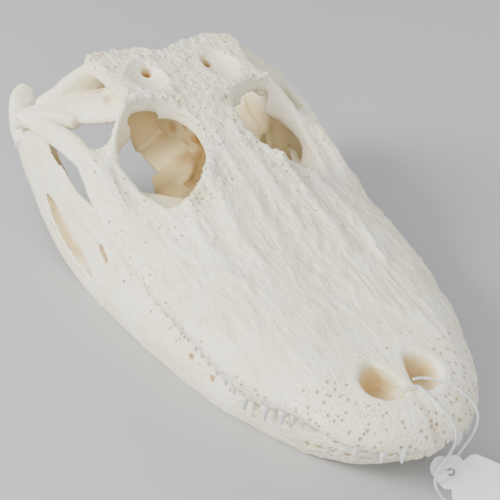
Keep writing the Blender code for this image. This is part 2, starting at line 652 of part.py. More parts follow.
def build_strand(name, points, count, look):
    """One strand of cotton string, a slim tube with a few sides and closed ends."""
    line = bpy.data.curves.new(name, "CURVE")
    line.dimensions = "3D"
    line.bevel_depth = 0.5 * STRING_WIDTH * TO_METRES
    line.bevel_resolution = 2
    line.use_fill_caps = True
    spline = line.splines.new("POLY")
    spline.points.add(count - 1)
    for point, place in zip(spline.points, (curve(points, count) - MIDDLE) * TO_METRES):
        point.co = (*place, 1.0)
    made = bpy.data.objects.new(name, line)
    bpy.context.collection.objects.link(made)
    line.materials.append(look)


def build_tag(look):
    """The paper tag, a thin card with scalloped corners that leans with a corner on the floor."""
    level = np.array((math.cos(TAG_TURN), -math.sin(TAG_TURN), 0.0))
    rise = np.array((math.sin(TAG_TURN) * math.cos(TAG_LEAN), math.cos(TAG_TURN) * math.cos(TAG_LEAN),
                     math.sin(TAG_LEAN)))
    along = level * math.cos(TAG_TILT) - rise * math.sin(TAG_TILT)
    across = level * math.sin(TAG_TILT) + rise * math.cos(TAG_TILT)
    facing = np.cross(along, across)
    half = np.array(TAG_OUTLINE, dtype=float)
    outline = np.vstack((half, half[::-1] * (1, -1)))
    edge = outline[:, :1] * along + outline[:, 1:] * across
    hole = oval(0.0, 0.0, TAG_HOLE_RADIUS, TAG_HOLE_RADIUS)
    rim = hole[:, :1] * along + hole[:, 1:] * across
    height = FLOOR_GAP + 0.5 * TAG_THICK * abs(facing[2]) - edge[:, 2].min()
    centre = np.array((*TAG_HOLE_PLACE, height))
    card = shell("tag", [centre + edge + facing * side for side in (-0.5 * TAG_THICK, 0.5 * TAG_THICK)])
    punch = shell("punch", [centre + rim + facing * side for side in (-2.0, 2.0)])
    combine(card, [punch], "DIFFERENCE")
    card.data.materials.append(look)


def main():
    for old in list(bpy.data.objects):
        bpy.data.objects.remove(old, do_unlink=True)
    bone = material("bone", BONE_LOOK)
    build_cranium(bone)
    build_jaw(bone)
    cotton = material("cotton", COTTON_LOOK)
    build_strand("string_front", FRONT_STRAND, 66, cotton)
    build_strand("string_side", SIDE_STRAND, 56, cotton)
    build_tag(material("paper", PAPER_LOOK))


main()
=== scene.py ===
"""Bleached alligator skull with its jaw closed and a paper tag tied through its nostrils, dressed
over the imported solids. Each section works in millimetres in the maker's frame: X from the midline,
Y back from the tip of the snout, Z up from the floor. in_place turns them into the part's frame."""
import json
import math
from types import SimpleNamespace

import bpy
import numpy as np
from mathutils import Matrix, Vector

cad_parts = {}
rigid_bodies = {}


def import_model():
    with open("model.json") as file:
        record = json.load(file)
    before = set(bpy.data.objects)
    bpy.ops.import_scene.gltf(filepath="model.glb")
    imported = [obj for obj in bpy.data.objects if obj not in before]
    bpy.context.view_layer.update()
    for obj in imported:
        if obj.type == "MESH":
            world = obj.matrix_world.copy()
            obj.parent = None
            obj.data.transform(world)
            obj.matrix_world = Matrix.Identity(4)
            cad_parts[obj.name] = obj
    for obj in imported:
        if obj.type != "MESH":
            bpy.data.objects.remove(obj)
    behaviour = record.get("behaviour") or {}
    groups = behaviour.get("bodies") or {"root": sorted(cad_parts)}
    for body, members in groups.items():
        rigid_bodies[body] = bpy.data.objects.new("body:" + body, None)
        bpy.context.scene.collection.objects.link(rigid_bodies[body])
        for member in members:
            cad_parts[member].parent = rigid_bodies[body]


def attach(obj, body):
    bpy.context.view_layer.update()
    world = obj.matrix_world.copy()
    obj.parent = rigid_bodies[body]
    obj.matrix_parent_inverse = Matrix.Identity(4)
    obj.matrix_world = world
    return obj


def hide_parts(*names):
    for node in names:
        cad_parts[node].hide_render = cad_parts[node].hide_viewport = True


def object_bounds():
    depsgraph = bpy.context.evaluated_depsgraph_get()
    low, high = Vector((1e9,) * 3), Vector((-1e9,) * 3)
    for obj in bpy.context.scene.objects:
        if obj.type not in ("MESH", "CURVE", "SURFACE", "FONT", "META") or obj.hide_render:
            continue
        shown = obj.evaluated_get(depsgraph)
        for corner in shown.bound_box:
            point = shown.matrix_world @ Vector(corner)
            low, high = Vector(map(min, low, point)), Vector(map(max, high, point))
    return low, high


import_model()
cad_low, cad_high = [list(corner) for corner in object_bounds()]


# Studio. A wide pale grey table fills the view. A warm soft box at the left is the main light,
# with a weaker one in front, a cooler one at the right and a dim room round them. The camera
# looks down on the snout.
CAMERA_PLACE = (-0.39392, -0.700485, 0.54339)
CAMERA_YAW = math.radians(29.0)
CAMERA_PITCH = math.radians(31.7)
CAMERA_ROLL = math.radians(2.8)
CAMERA_LENS = 92.893
CAMERA_SENSOR = 36.0
TABLE_SIZE = 8.0
TABLE_GREY = (0.44, 0.445, 0.455)
ROOM_COLOUR = (0.85, 0.87, 0.9)
ROOM_STRENGTH = 0.62
SOFT_BOXES = (
    ("key", (-1.7, 0.5, 1.15), (1.1, 0.9), 74.0, (1.0, 0.985, 0.955)),
    ("front", (-0.9, -1.7, 1.2), (1.4, 1.0), 30.0, (1.0, 0.99, 0.97)),
    ("fill", (1.6, 0.3, 1.3), (1.4, 1.4), 18.0, (0.95, 0.94, 1.0)),
)


def aim_camera():
    """Camera turned by yaw about the upright, then pitched down, then rolled about its view."""
    yaw, pitch, roll = CAMERA_YAW, CAMERA_PITCH, CAMERA_ROLL
    ahead = Vector((math.sin(yaw) * math.cos(pitch), math.cos(yaw) * math.cos(pitch), -math.sin(pitch)))
    level = Vector((math.cos(yaw), -math.sin(yaw), 0.0))
    upward = level.cross(ahead)
    right = level * math.cos(roll) + upward * math.sin(roll)
    top = upward * math.cos(roll) - level * math.sin(roll)
    turned = Matrix((right, top, -ahead)).transposed().to_4x4()
    data = bpy.data.cameras.new("camera")
    data.lens = CAMERA_LENS
    data.sensor_width = CAMERA_SENSOR
    camera = bpy.data.objects.new("camera", data)
    camera.matrix_world = Matrix.Translation(CAMERA_PLACE) @ turned
    bpy.context.collection.objects.link(camera)
    bpy.context.scene.camera = camera


def soft_box(name, place, size, watts, colour):
    """Rectangular studio light at a place, turned to face the middle of the skull."""
    data = bpy.data.lights.new(name, "AREA")
    data.shape = "RECTANGLE"
    data.size = size[0]
    data.size_y = size[1]
    data.energy = watts
    data.color = colour
    lamp = bpy.data.objects.new(name, data)
    lamp.location = place
    lamp.rotation_euler = (-Vector(place)).to_track_quat("-Z", "Y").to_euler()
    bpy.context.collection.objects.link(lamp)


class Wired:
    """One output of a material's nodes. Arithmetic on it adds Math nodes."""

    def __init__(self, tree, socket=None):
        self.tree = tree
        self.socket = socket

    def node(self, kind, settings=None, inputs=None, output=0):
        """Add a node of a type: its settings come first, then values or links go to its sockets."""
        made = self.tree.nodes.new(kind)
        for name, value in (settings or {}).items():
            setattr(made, name, value)
        for name, value in (inputs or {}).items():
            if isinstance(value, Wired):
                self.tree.links.new(value.socket, made.inputs[name])
            else:
                made.inputs[name].default_value = value
        return Wired(self.tree, made.outputs[output])

    def maths(self, operation, *values):
        """A Math node on values or links."""
        return self.node("ShaderNodeMath", {"operation": operation}, dict(enumerate(values)))

    def __add__(self, other):
        return self.maths("ADD", self, other)

    def __mul__(self, other):
        return self.maths("MULTIPLY", self, other)

    def __sub__(self, other):
        return self.maths("SUBTRACT", self, other)

    def __rsub__(self, other):
        return self.maths("SUBTRACT", other, self)

    __radd__ = __add__
    __rmul__ = __mul__

    def magnitude(self):
        return self.maths("ABSOLUTE", self)

    def rising(self, low, high):
        """0 below low and 1 above high, with a smooth rise between them."""
        return self.node("ShaderNodeMapRange", {"interpolation_type": "SMOOTHSTEP"},
                         {"Value": self, "From Min": low, "From Max": high})

    def tinted(self, low, high):
        """The colour low where this is 0, high where it is 1. Each is a colour or a link."""
        colours = [colour if isinstance(colour, Wired) else (*colour, 1.0) for colour in (low, high)]
        return self.node("ShaderNodeMix", {"data_type": "RGBA"},
                         {"Factor": self, 6: colours[0], 7: colours[1]}, output=2)


def new_material(name, roughness):
    """An empty material with its shader, and a wire to start from that reads Object coordinates."""
    made = bpy.data.materials.new(name)
    made.use_nodes = True
    shader = made.node_tree.nodes["Principled BSDF"]
    shader.inputs["Roughness"].default_value = roughness
    start = Wired(made.node_tree)
    return made, shader, start.node("ShaderNodeTexCoord", output=3)


def plug(wire, shader, name):
    """Link a wire to one of the shader's sockets."""
    wire.tree.links.new(wire.socket, shader.inputs[name])


def build_studio():
    """Table, lights and the room's even light."""
    half = 0.5 * TABLE_SIZE
    mesh = bpy.data.meshes.new("table_top")
    corners = [(-half, -half, 0), (half, -half, 0), (half, half, 0), (-half, half, 0)]
    mesh.from_pydata(corners, [], [(0, 1, 2, 3)])
    table_top = bpy.data.objects.new("table_top", mesh)
    bpy.context.collection.objects.link(table_top)
    paper, shader, _ = new_material("table_grey", 0.6)
    shader.inputs["Base Color"].default_value = (*TABLE_GREY, 1.0)
    mesh.materials.append(paper)
    for light in SOFT_BOXES:
        soft_box(*light)
    world = bpy.data.worlds.new("room")
    world.use_nodes = True
    background = world.node_tree.nodes["Background"]
    background.inputs["Color"].default_value = (*ROOM_COLOUR, 1.0)
    background.inputs["Strength"].default_value = ROOM_STRENGTH
    bpy.context.scene.world = world


aim_camera()
build_studio()


# Skull above the jaw. Bone, one closed skin joined from the snout, the bars round the eye and
# muscle openings, the brain case and the flat table behind the eyes, with the relief of the bone
# pushed into the skin: ridges, rims, lengthwise furrows, tooth bulges and pores.
MM = 0.001
MIDDLE = np.array((0.0, 234.6, 0.0))
SKULL_GRAIN = 1.35
SKULL_SOFTENING = 4
FILLET_ROUNDS = 40
HOLLOW_ROUNDS = 14
TRIANGLE_LIMIT = 190000
SNOUT_SECTIONS = (
    (1.0, 43, 2, 42.5, 4, 41.5, 5, 40, 3.5, 38),
    (5.0, 50, 7, 49.5, 14, 47, 18.5, 42, 17, 37),
    (13.0, 57, 13, 56, 26, 51.5, 33.5, 43, 32, 36),
    (27.0, 62, 20, 61, 38, 55.5, 48.5, 45, 47, 37),
    (44.0, 65, 24, 64.5, 45, 60, 59.5, 48, 58, 40),
    (64.0, 68, 28, 67.5, 50, 64, 67, 50, 64, 39),
    (82.0, 70, 31, 69.5, 56, 65, 75, 50, 72, 34),
    (100.0, 73, 33, 72, 61, 67, 82, 51, 79, 32),
    (125.0, 77, 36, 76, 66, 69, 88, 53, 84, 35),
    (150.0, 81, 38, 79.5, 70, 72, 93, 57, 88, 40),
    (200.0, 92, 38, 89, 70, 79, 97, 62, 92, 43),
    (240.0, 105, 38, 99, 70, 84, 100, 66, 97, 51),
    (270.0, 115, 40, 107, 70, 91, 103, 72, 100.5, 60),
    (300.0, 124, 42, 114, 73, 98, 103, 77, 101.5, 71),
    (335.0, 131, 44, 124, 75, 107, 100.5, 94, 99, 88),
)
SNOUT_FRONT = SNOUT_SECTIONS[0][0]
SNOUT_BACK = SNOUT_SECTIONS[-1][0]
PALATE_RISE = 4.0
TABLE_FRONT = 336.0
TABLE_SLOPE_Y = 398.0
TABLE_OUTLINE = (
    (0, 326), (30, 327), (50, 330), (56, 338), (58, 358), (61, 386), (64, 402), (62, 412), (42, 417),
    (20, 413), (0, 403),
)
TABLE_TOP = 140.0
TABLE_THICK = 15.0
TABLE_FALL = 0.09
TABLE_CURL = 1.5
TABLE_HALF_WIDTH = 60.0
TEMPORAL_DISH = (31.0, 363.0, 14.0, 22.0)
TEMPORAL_DEPTH = 6.5
TEMPORAL_OPENING = (25.0, 378.0, 5.0, 8.0)
CUTTER_TOP = 150.0
EYE_OUTLINE = (
    (47, 248), (57, 245), (65, 253), (71, 270), (75, 292), (76, 310), (71, 326), (54, 336), (34, 334),
    (20, 320), (16, 297), (21, 276), (33, 258),
)
NOSTRIL_OUTLINE = (
    (2.5, 33), (8, 26), (18, 26.5), (27, 33), (31, 44), (28, 55), (20, 62), (12, 63), (7, 53), (3.5, 42),
)
NOSTRIL_DEPTH = 17.0
NOSTRIL_TOP = 69.0
NOSTRIL_SHIFT = 3.0
EYE_FLOOR = 84.0
EYE_CHAMBER = ((258, 40, 30), (266, 22, 18), (280, 14, 11), (300, 13, 10), (336, 13, 9),
               (345, 13, 9))
TEETH_BACK = 245.0
TOOTH_BULGE = 0.11
UPPER_TEETH = (
    (7, 6.5), (13, 7), (24, 6), (58, 6), (65, 7.5), (73, 10.5), (85, 12), (101, 11), (112, 6),
    (121, 5.5), (130, 5.5), (139, 6), (147, 5.5), (155, 6), (165, 5), (174, 5.5), (184, 5), (196, 4.5),
    (208, 4), (218, 3.5),
)
SNOUT_RIDGES = (
    (2.2, 4.0, ((27, 262), (30, 238), (33, 212), (34, 188), (32, 165))),
    (1.6, 4.0, ((50, 248), (55, 226), (58, 200), (56, 176), (52, 150))),
    (1.2, 3.5, ((8, 300), (9, 262), (10, 225), (9, 190))),
    (-1.3, 6.0, ((0, 300), (0, 240), (0, 190), (0, 150))),
    (-1.3, 5.0, ((41, 244), (44, 215), (46, 185), (44, 160))),
    (-0.8, 1.5, ((0, 29), (0, 18), (0, 8), (0, 2))),
    (1.0, 7.0, ((20, 118), (30, 100), (42, 84))),
)
EAR_RECESS = ((60, 366, 121), (62, 380, 120), (62, 392, 118))
EYE_RIM = 1.5
NOSTRIL_RIM = 0.5
DISH_RIM = 1.0
FURROW_CELLS = (6.0, 40.0, 7.0)
FINE_CELLS = (2.8, 15.0, 4.0)
CRUMPLE_CELLS = (8.0, 14.0, 8.0)
KNOB_CELLS = 7.0
GROOVE_CELLS = (4.0, 11.0, 4.0)
LUMP_CELLS = 11.0
STRUT_AROUND = 32
PAIRED_STRUTS = (
    ("jugal", ((80, 236, 64), (89, 275, 78), (91.5, 305, 88), (95, 335, 95), (98, 360, 96),
               (104, 392, 94), (109, 415, 92)),
     ((8, 6), (11, 7), (11, 7), (10.5, 5.5), (9, 5.5), (8, 5.5), (6.5, 6.5)),
     ((0.3, 0, 1), (0, 0, 1), (-0.4, 0, 1), (-0.5, 0, 1), (-0.5, 0, 1), (-0.5, 0, 1), (0, 0, 1)), 36),
    ("orbit_bar", ((82, 312, 94), (76, 321, 103), (69, 328, 114), (62, 333, 124), (54, 338, 131)),
     ((9, 7), (6, 6), (5.5, 6), (6, 7), (9, 8)), (1, 0, 0), 36),
    ("quadrate_shaft", ((50, 374, 116), (68, 386, 111), (87, 401, 102), (103, 415, 94), (113, 424, 89)),
     ((16, 9), (15, 8), (12, 7.5), (9, 8), (6.5, 8)), (-0.55, 0.8, 0.1), 30),
    ("ear_plate", ((56, 344, 119), (64, 362, 114), (75, 381, 109), (88, 399, 103)),
     ((7, 4), (10, 4.5), (12, 4.5), (10, 5)), (0.6, -0.4, -0.7), 24),
    ("hinge_web", ((84, 376, 102), (90, 386, 101), (98, 399, 98), (106, 412, 94)),
     ((5, 5), (7, 5), (8, 5.5), (7, 6)), (0, 0, 1), 20),
    ("quadrate_knuckle", ((98, 428, 88), (108, 428, 86), (119, 426, 86)),
     ((6.5, 6), (6, 6), (6, 6)), (0, 0, 1), 12),
    ("ear_lobe", ((44, 404, 125), (60, 407, 125), (72, 409, 120), (83, 411, 113)),
     ((10, 8), (9.5, 8), (8.5, 8), (7, 7)), (0, 0, 1), 20),
    ("back_wing", ((0, 402, 114), (30, 405, 112), (60, 408, 109), (82, 412, 104), (98, 419, 97)),
     ((24, 8), (22, 8), (19, 8), (14, 8), (9, 7)), (0, 0, 1), 24),
    ("wing_plate", ((6, 344, 82), (17, 344, 76), (27, 344, 70), (33, 344, 67)),
     ((20, 8), (34, 5), (36, 3.5), (30, 3.5)), (0, 1, 0), 20),
    ("side_wall", ((40, 376, 114), (31, 377, 92), (24, 377, 70)),
     ((14, 4), (12.5, 4), (12, 4)), (1, 0, 0), 16),
    ("cross_strut", ((30, 312, 66), (46, 294, 66), (64, 274, 67), (84, 257, 67)),
     ((14, 4), (10, 4), (8, 5), (11, 6)), (0.6, 0.8, 0), 20),
    ("palate_shelf", ((30, 240, 60), (34, 270, 60), (32, 300, 62), (26, 330, 68)),
     ((30, 5), (22, 4), (18, 4), (16, 4)), (1, 0, 0), 20),
    ("pillar", ((26, 262, 108), (28, 262, 88), (26, 264, 62)),
     ((7, 9), (6, 6), (9, 9)), (1, 0, 0), 14),
)
MIDDLE_STRUTS = (
    ("throat_tube", ((0, 236, 62), (0, 280, 63), (0, 320, 66), (0, 354, 73)),
     ((16, 6), (16, 6), (17, 7), (18, 9)), (1, 0, 0), 20),
    ("brain_case", ((0, 322, 104), (0, 345, 103), (0, 370, 106), (0, 402, 112)),
     ((10, 22), (15, 26), (21, 26), (26, 22)), (1, 0, 0), 24),
    ("skull_keel", ((0, 322, 84), (0, 350, 76), (0, 385, 80), (0, 410, 92)),
     ((8, 14), (12, 14), (15, 14), (13, 12)), (1, 0, 0), 20),
    ("neck_knob", ((0, 400, 98), (0, 412, 96), (0, 420, 94)),
     ((12, 11), (11, 10), (7, 6.5)), (1, 0, 0), 12),
)
CREAM = (0.88, 0.82, 0.59)
PALE_CREAM = (0.93, 0.89, 0.73)
GREY_CREAM = (0.83, 0.785, 0.68)
# Painted shade in creases and recesses.
SHADE_TAN = (0.66, 0.50, 0.22)
# Real stains, and painted shade deep in holes.
STAIN_AND_SHADE_ORANGE = (0.36, 0.145, 0.025)
PORE = (0.56, 0.34, 0.10)


def in_place(points):
    """Maker's millimetres to the part's metres."""
    return (np.asarray(points, dtype=float) - MIDDLE) * MM


def track(rows):
    """Function of the first column that runs through the other columns. Between rows it is a
    cubic whose slope at a row is the harmonic mean of the slopes beside it, so it never overshoots."""
    table = np.array(rows, dtype=float)
    place, values = table[:, 0], table[:, 1:]
    step = np.diff(place)[:, None]
    slope = np.diff(values, axis=0) / step
    tangent = np.zeros_like(values)
    tangent[0], tangent[-1] = slope[0], slope[-1]
    total = slope[:-1] + slope[1:]
    product = slope[:-1] * slope[1:]
    mean = 2.0 * product / np.where(np.abs(total) < 1e-9, 1.0, total)
    tangent[1:-1] = np.where(product > 0, mean, 0.0)

    def at(where):
        where = np.atleast_1d(where).astype(float)
        span = np.clip(np.searchsorted(place, where) - 1, 0, len(place) - 2)
        width = step[span]
        t = (where - place[span])[:, None] / width
        return ((1 + 2 * t) * (1 - t) ** 2 * values[span] + t * (1 - t) ** 2 * width * tangent[span]
                + t * t * (3 - 2 * t) * values[span + 1] + t * t * (t - 1) * width * tangent[span + 1])
    return at


def through(points, count, closed=False):
    """Catmull-Rom curve: each span is a cubic set by its two points and the two beyond them."""
    knots = np.array(points, dtype=float)
    if closed:
        padded = np.vstack((knots[-1], knots, knots[0], knots[1]))
        spans = len(knots)
    else:
        padded = np.vstack((2 * knots[0] - knots[1], knots, 2 * knots[-1] - knots[-2]))
        spans = len(knots) - 1
    reach = np.linspace(0, spans, count, endpoint=not closed)
    span = np.minimum(reach.astype(int), spans - 1)
    t = (reach - span)[:, None]
    a, b, c, d = (padded[span + i] for i in range(4))
    cubic = 3 * b - a - 3 * c + d
    return 0.5 * (2 * b + (c - a) * t + (2 * a - 5 * b + 4 * c - d) * t ** 2 + cubic * t ** 3)


def mesh_object(name, places, faces):
    """Mesh object from points in millimetres and a list of arrays of corner numbers."""
    mesh = bpy.data.meshes.new(name)
    listed = [corners for array in faces for corners in array.tolist()]
    mesh.from_pydata(in_place(places).tolist(), [], listed)
    made = bpy.data.objects.new(name, mesh)
    bpy.context.collection.objects.link(made)
    return made


def face_outwards(mesh):
    """Turn a closed mesh right side out: the sum of a . (b x c) over its triangles, six times its
    volume, is negative when it is inside out."""
    mesh.calc_loop_triangles()
    corners = np.empty(len(mesh.loop_triangles) * 3, dtype=np.int32)
    mesh.loop_triangles.foreach_get("vertices", corners)
    places = np.empty(len(mesh.vertices) * 3)
    mesh.vertices.foreach_get("co", places)
    a, b, c = (places.reshape(-1, 3)[corners.reshape(-1, 3)[:, i]] for i in range(3))
    if np.einsum("ij,ij->", a, np.cross(b, c)) < 0:
        mesh.flip_normals()


def loft(rings):
    """Points and faces of a closed surface on a grid: one parameter runs along the rings, the
    other round each ring, and a fan to the mean of the ring closes each end."""
    rings = np.asarray(rings, dtype=float)
    count, around = rings.shape[:2]
    places = np.vstack((rings.reshape(-1, 3), rings[0].mean(axis=0), rings[-1].mean(axis=0)))
    index = np.arange(count * around).reshape(count, around)
    after = np.roll(index, -1, axis=1)
    sides = np.stack((index[:-1], after[:-1], after[1:], index[1:]), axis=-1).reshape(-1, 4)
    first = np.column_stack((index[0], np.full(around, count * around), after[0]))
    last = np.column_stack((after[-1], np.full(around, count * around + 1), index[-1]))
    return places, (sides, first, last)


def closed_loft(name, rings):
    """Mesh object of a loft, right side out."""
    made = mesh_object(name, *loft(rings))
    face_outwards(made.data)
    return made


def flip(points, sign):
    """The same points on the side of the head that sign names: X is mirrored when it is -1."""
    table = np.array(points, dtype=float)
    table[..., 0] *= sign
    return table


def strut(name, path, sizes, side, count, square=2.4, sign=1.0):
    """A rounded oval, |cos|^(2/square) by |sin|^(2/square), carried along a smooth path of count
    steps. sizes are (half width, half height) at the path's points, and the width keeps to side."""
    centre = through(flip(path, sign), count)
    size = np.maximum(through(sizes, count), 0.3)
    side = flip(side, sign)
    toward = through(side, count) if side.ndim == 2 else np.tile(side, (count, 1))
    along = np.gradient(centre, axis=0)
    along /= np.linalg.norm(along, axis=1)[:, None]
    wide = toward - np.einsum("ij,ij->i", toward, along)[:, None] * along
    wide /= np.linalg.norm(wide, axis=1)[:, None]
    tall = np.cross(along, wide)
    angle = np.linspace(0, 2 * math.pi, STRUT_AROUND, endpoint=False)
    cosine = np.sign(np.cos(angle)) * np.abs(np.cos(angle)) ** (2 / square)
    sine = np.sign(np.sin(angle)) * np.abs(np.sin(angle)) ** (2 / square)
    return closed_loft(name, centre[:, None] + wide[:, None] * (size[:, :1] * cosine)[..., None]
                       + tall[:, None] * (size[:, 1:] * sine)[..., None])


def plate(name, outline, low, high, count=120):
    """Plate with a rounded edge inside an outline of (X, Y). low and high give the heights of
    its faces over X and Y, and the rings are drawn in towards them."""
    edge = through(outline, count, closed=True)
    middle = edge.mean(axis=0)
    rings = []
    for share, inset in ((0.0, 0.93), (0.15, 0.98), (0.5, 1.0), (0.85, 0.98), (1.0, 0.93)):
        ring = middle + (edge - middle) * inset
        x, y = ring.T
        rings.append(np.column_stack((ring, low(x, y) + share * (high(x, y) - low(x, y)))))
    return closed_loft(name, rings)


def apply_modifiers(made):
    """Replace an object's mesh by the evaluated one."""
    bpy.context.view_layer.update()
    mesh = bpy.data.meshes.new_from_object(made.evaluated_get(bpy.context.evaluated_depsgraph_get()))
    made.modifiers.clear()
    old = made.data
    made.data = mesh
    bpy.data.meshes.remove(old)


def combine(base, pieces, operation="UNION"):
    """Join closed pieces to the base, or cut them out of it, and remove them."""
    helpers = bpy.data.collections.new(base.name + "_" + operation.lower())
    bpy.context.scene.collection.children.link(helpers)
    for piece in pieces:
        for home in list(piece.users_collection):
            home.objects.unlink(piece)
        helpers.objects.link(piece)
    step = base.modifiers.new("combine", "BOOLEAN")
    step.operation = operation
    step.operand_type = "COLLECTION"
    step.collection = helpers
    step.solver = "MANIFOLD"
    apply_modifiers(base)
    for piece in list(helpers.objects):
        bpy.data.objects.remove(piece, do_unlink=True)
    bpy.data.collections.remove(helpers)


def even_skin(made, grain):
    """The joined forms as one skin of even small faces: its points in millimetres and its
    four-cornered faces. Only the largest closed surface is kept. The object is removed."""
    step = made.modifiers.new("skin", "REMESH")
    step.mode = "VOXEL"
    step.voxel_size = grain * MM
    apply_modifiers(made)
    mesh = made.data
    places = np.empty(len(mesh.vertices) * 3)
    mesh.vertices.foreach_get("co", places)
    corners = np.empty(len(mesh.loops), dtype=np.int64)
    mesh.loops.foreach_get("vertex_index", corners)
    faces = corners.reshape(-1, 4)
    bpy.data.objects.remove(made, do_unlink=True)
    places = places.reshape(-1, 3) / MM + MIDDLE
    group = np.arange(len(places))
    edges = edges_of(faces)
    while True:
        lowest = np.minimum(group[edges[:, 0]], group[edges[:, 1]])
        joined = group.copy()
        np.minimum.at(joined, edges[:, 0], lowest)
        np.minimum.at(joined, edges[:, 1], lowest)
        joined = joined[joined]
        if np.array_equal(joined, group):
            break
        group = joined
    main = group == np.bincount(group).argmax()
    number = np.cumsum(main) - 1
    return places[main], number[faces[main[faces[:, 0]]]]


def edges_of(faces):
    """Each edge of a four-cornered mesh once, as pairs of point numbers."""
    pairs = np.sort(np.stack((faces, np.roll(faces, -1, axis=1)), axis=-1).reshape(-1, 2), axis=1)
    code = np.unique(pairs[:, 0] * (pairs.max() + 1) + pairs[:, 1])
    return np.column_stack((code // (pairs.max() + 1), code % (pairs.max() + 1)))


def relaxed(values, edges, rounds):
    """Each value replaced by the mean of its neighbours and itself, as often as rounds says."""
    ends = np.concatenate((edges[:, 0], edges[:, 1]))
    others = np.concatenate((edges[:, 1], edges[:, 0]))
    share = 1.0 / (1.0 + np.bincount(ends, minlength=len(values)))
    columns = np.atleast_2d(values.T).copy()
    for _ in range(rounds):
        for axis in range(len(columns)):
            column = columns[axis]
            columns[axis] = (column + np.bincount(ends, column[others], minlength=len(column))) * share
    return columns.T.reshape(values.shape)


def outward(places, faces):
    """Unit normals at the points: the crossed diagonals of the faces round each point, added up."""
    a, b, c, d = (places[faces[:, i]] for i in range(4))
    crossed = np.cross(c - a, d - b)
    corners = faces.ravel()
    total = np.column_stack([np.bincount(corners, np.repeat(part, 4), minlength=len(places))
                             for part in crossed.T])
    return total / np.maximum(np.linalg.norm(total, axis=1), 1e-9)[:, None]


def lattice_noise(places, size, seed):
    """Smooth noise from -1 to 1: a random value at each corner of a lattice of cells of that
    size, one or one for each axis, blended across the cell by 3t^2 - 2t^3."""
    scaled = places / np.asarray(size, dtype=float)
    cell = np.floor(scaled).astype(np.int64)
    t = scaled - cell
    t = t * t * (3 - 2 * t)
    total = np.zeros(len(places))
    for corner in np.ndindex(2, 2, 2):
        x, y, z = (cell + corner).T
        mixed = (x * 73856093 ^ y * 19349663 ^ z * 83492791 ^ seed * 40503) & 0x7fffffff
        mixed = ((mixed ^ (mixed >> 13)) * 1274126177) & 0x7fffffff
        value = ((mixed ^ (mixed >> 16)) & 0xffff) / 32767.5 - 1.0
        weight = np.prod(np.where(corner, t, 1.0 - t), axis=1)
        total += value * weight
    return total


def creases(places, size, seed):
    """Wavy creases from 0 to 1, sharp where the noise crosses nought."""
    return 1.0 - np.minimum(np.abs(lattice_noise(places, size, seed)) * 2.2, 1.0)


def step_up(values, low, high):
    """0 below low, 1 above high, and 3t^2 - 2t^3 between."""
    t = np.clip((values - low) / (high - low), 0.0, 1.0)
    return t * t * (3 - 2 * t)


def distance_to(points, line):
    """Distance from each point to a line of points, the least over its straight parts."""
    line = np.array(line, dtype=float)
    nearest = np.full(len(points), np.inf)
    for start, end in zip(line, line[1:]):
        run = end - start
        share = np.clip((points - start) @ run / (run @ run), 0.0, 1.0)
        nearest = np.minimum(nearest, np.linalg.norm(points - start - share[:, None] * run, axis=1))
    return nearest


def hump(distance, width):
    """Rounded ridge across a line: e to the minus (distance over width) squared."""
    return np.exp(-(distance / width) ** 2)


def inside(points, outline):
    """Whether each (X, Y) is within an outline: a ray along X crosses it an odd number of times."""
    ring = np.array(outline, dtype=float)
    within = np.zeros(len(points), dtype=bool)
    for (x1, y1), (x2, y2) in zip(ring, np.roll(ring, -1, axis=0)):
        spans = (y1 > points[:, 1]) != (y2 > points[:, 1])
        across = x1 + (points[:, 1] - y1) * (x2 - x1) / (y2 - y1 if y2 != y1 else 1.0)
        within ^= spans & (points[:, 0] < across)
    return within


def add_mark(mesh, name, values):
    """Number at each point that the material reads: 0 to 1."""
    mark = mesh.attributes.new(name, "FLOAT", "POINT")
    mark.data.foreach_set("value", np.clip(values, 0.0, 1.0).astype(np.float32))


def keep_in_box(places):
    """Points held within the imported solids' own box."""
    low = np.array(cad_low) / MM + MIDDLE
    high = np.array(cad_high) / MM + MIDDLE
    return np.clip(places, low, high)


snout_at = track(SNOUT_SECTIONS)


def both_sides(half):
    """Closed ring from one half of it: the half, then its mirror image without the end points."""
    return np.vstack((half, half[1:-1][::-1] * (-1, 1)))


def upright(ring, back):
    """A ring of (X, Z) stood up at one Y."""
    return np.column_stack((ring[:, 0], np.full(len(ring), float(back)), ring[:, 1]))


def snout_ring(row):
    """One cross section of the snout: a smooth roof and side, then the tooth margin and palate."""
    back, top, x1, z1, x2, z2, x3, z3, x4, z4 = row
    roof = through(((0, top), (x1, z1), (x2, z2), (x3, z3), (x4, z4)), 45)
    under = ((x4 * 0.9, z4 + 0.5 * PALATE_RISE), (x4 * 0.6, z4 + PALATE_RISE), (0, z4 + PALATE_RISE))
    return upright(both_sides(np.vstack((roof, under))), back)


def snout():
    """Snout and forehead: the cross sections lofted from the tip back, closer at the round tip."""
    places = SNOUT_FRONT + (SNOUT_BACK - SNOUT_FRONT) * np.linspace(0, 1, 130) ** 1.6
    return closed_loft("skull", [snout_ring((back, *row)) for back, row in zip(places, snout_at(places))])


def eye_chamber():
    """Room behind the snout and under the forehead, open below: the snout's own sections drawn
    in by the roof's and the wall's thickness."""
    rings = []
    for back, roof, wall in EYE_CHAMBER:
        top, x1, z1, x2, z2, x3, z3, x4, z4 = snout_at(min(back, SNOUT_BACK))[0]
        half = through(((0, top - roof), (x1 - 3, z1 - roof), (x2 - 6, z2 - roof), (x3 - wall, z3 - 8),
                        (x4 - wall, z4 - 14), (x4 - wall, 20), (0, 20)), 49)
        rings.append(upright(both_sides(half), back))
    return closed_loft("eye_chamber", rings)


def well(name, outline, low, high, taper=1.0, shift=0.0, count=96):
    """Cutter that goes down inside an outline of (X, Y). Its foot is smaller by taper and lies
    shifted along X."""
    edge = through(outline, count, closed=True)
    middle = edge.mean(axis=0)
    foot = middle + (edge - middle) * taper + (shift, 0.0)
    return closed_loft(name, [np.column_stack((foot, np.full(count, float(low)))),
                              np.column_stack((edge, np.full(count, float(high))))])


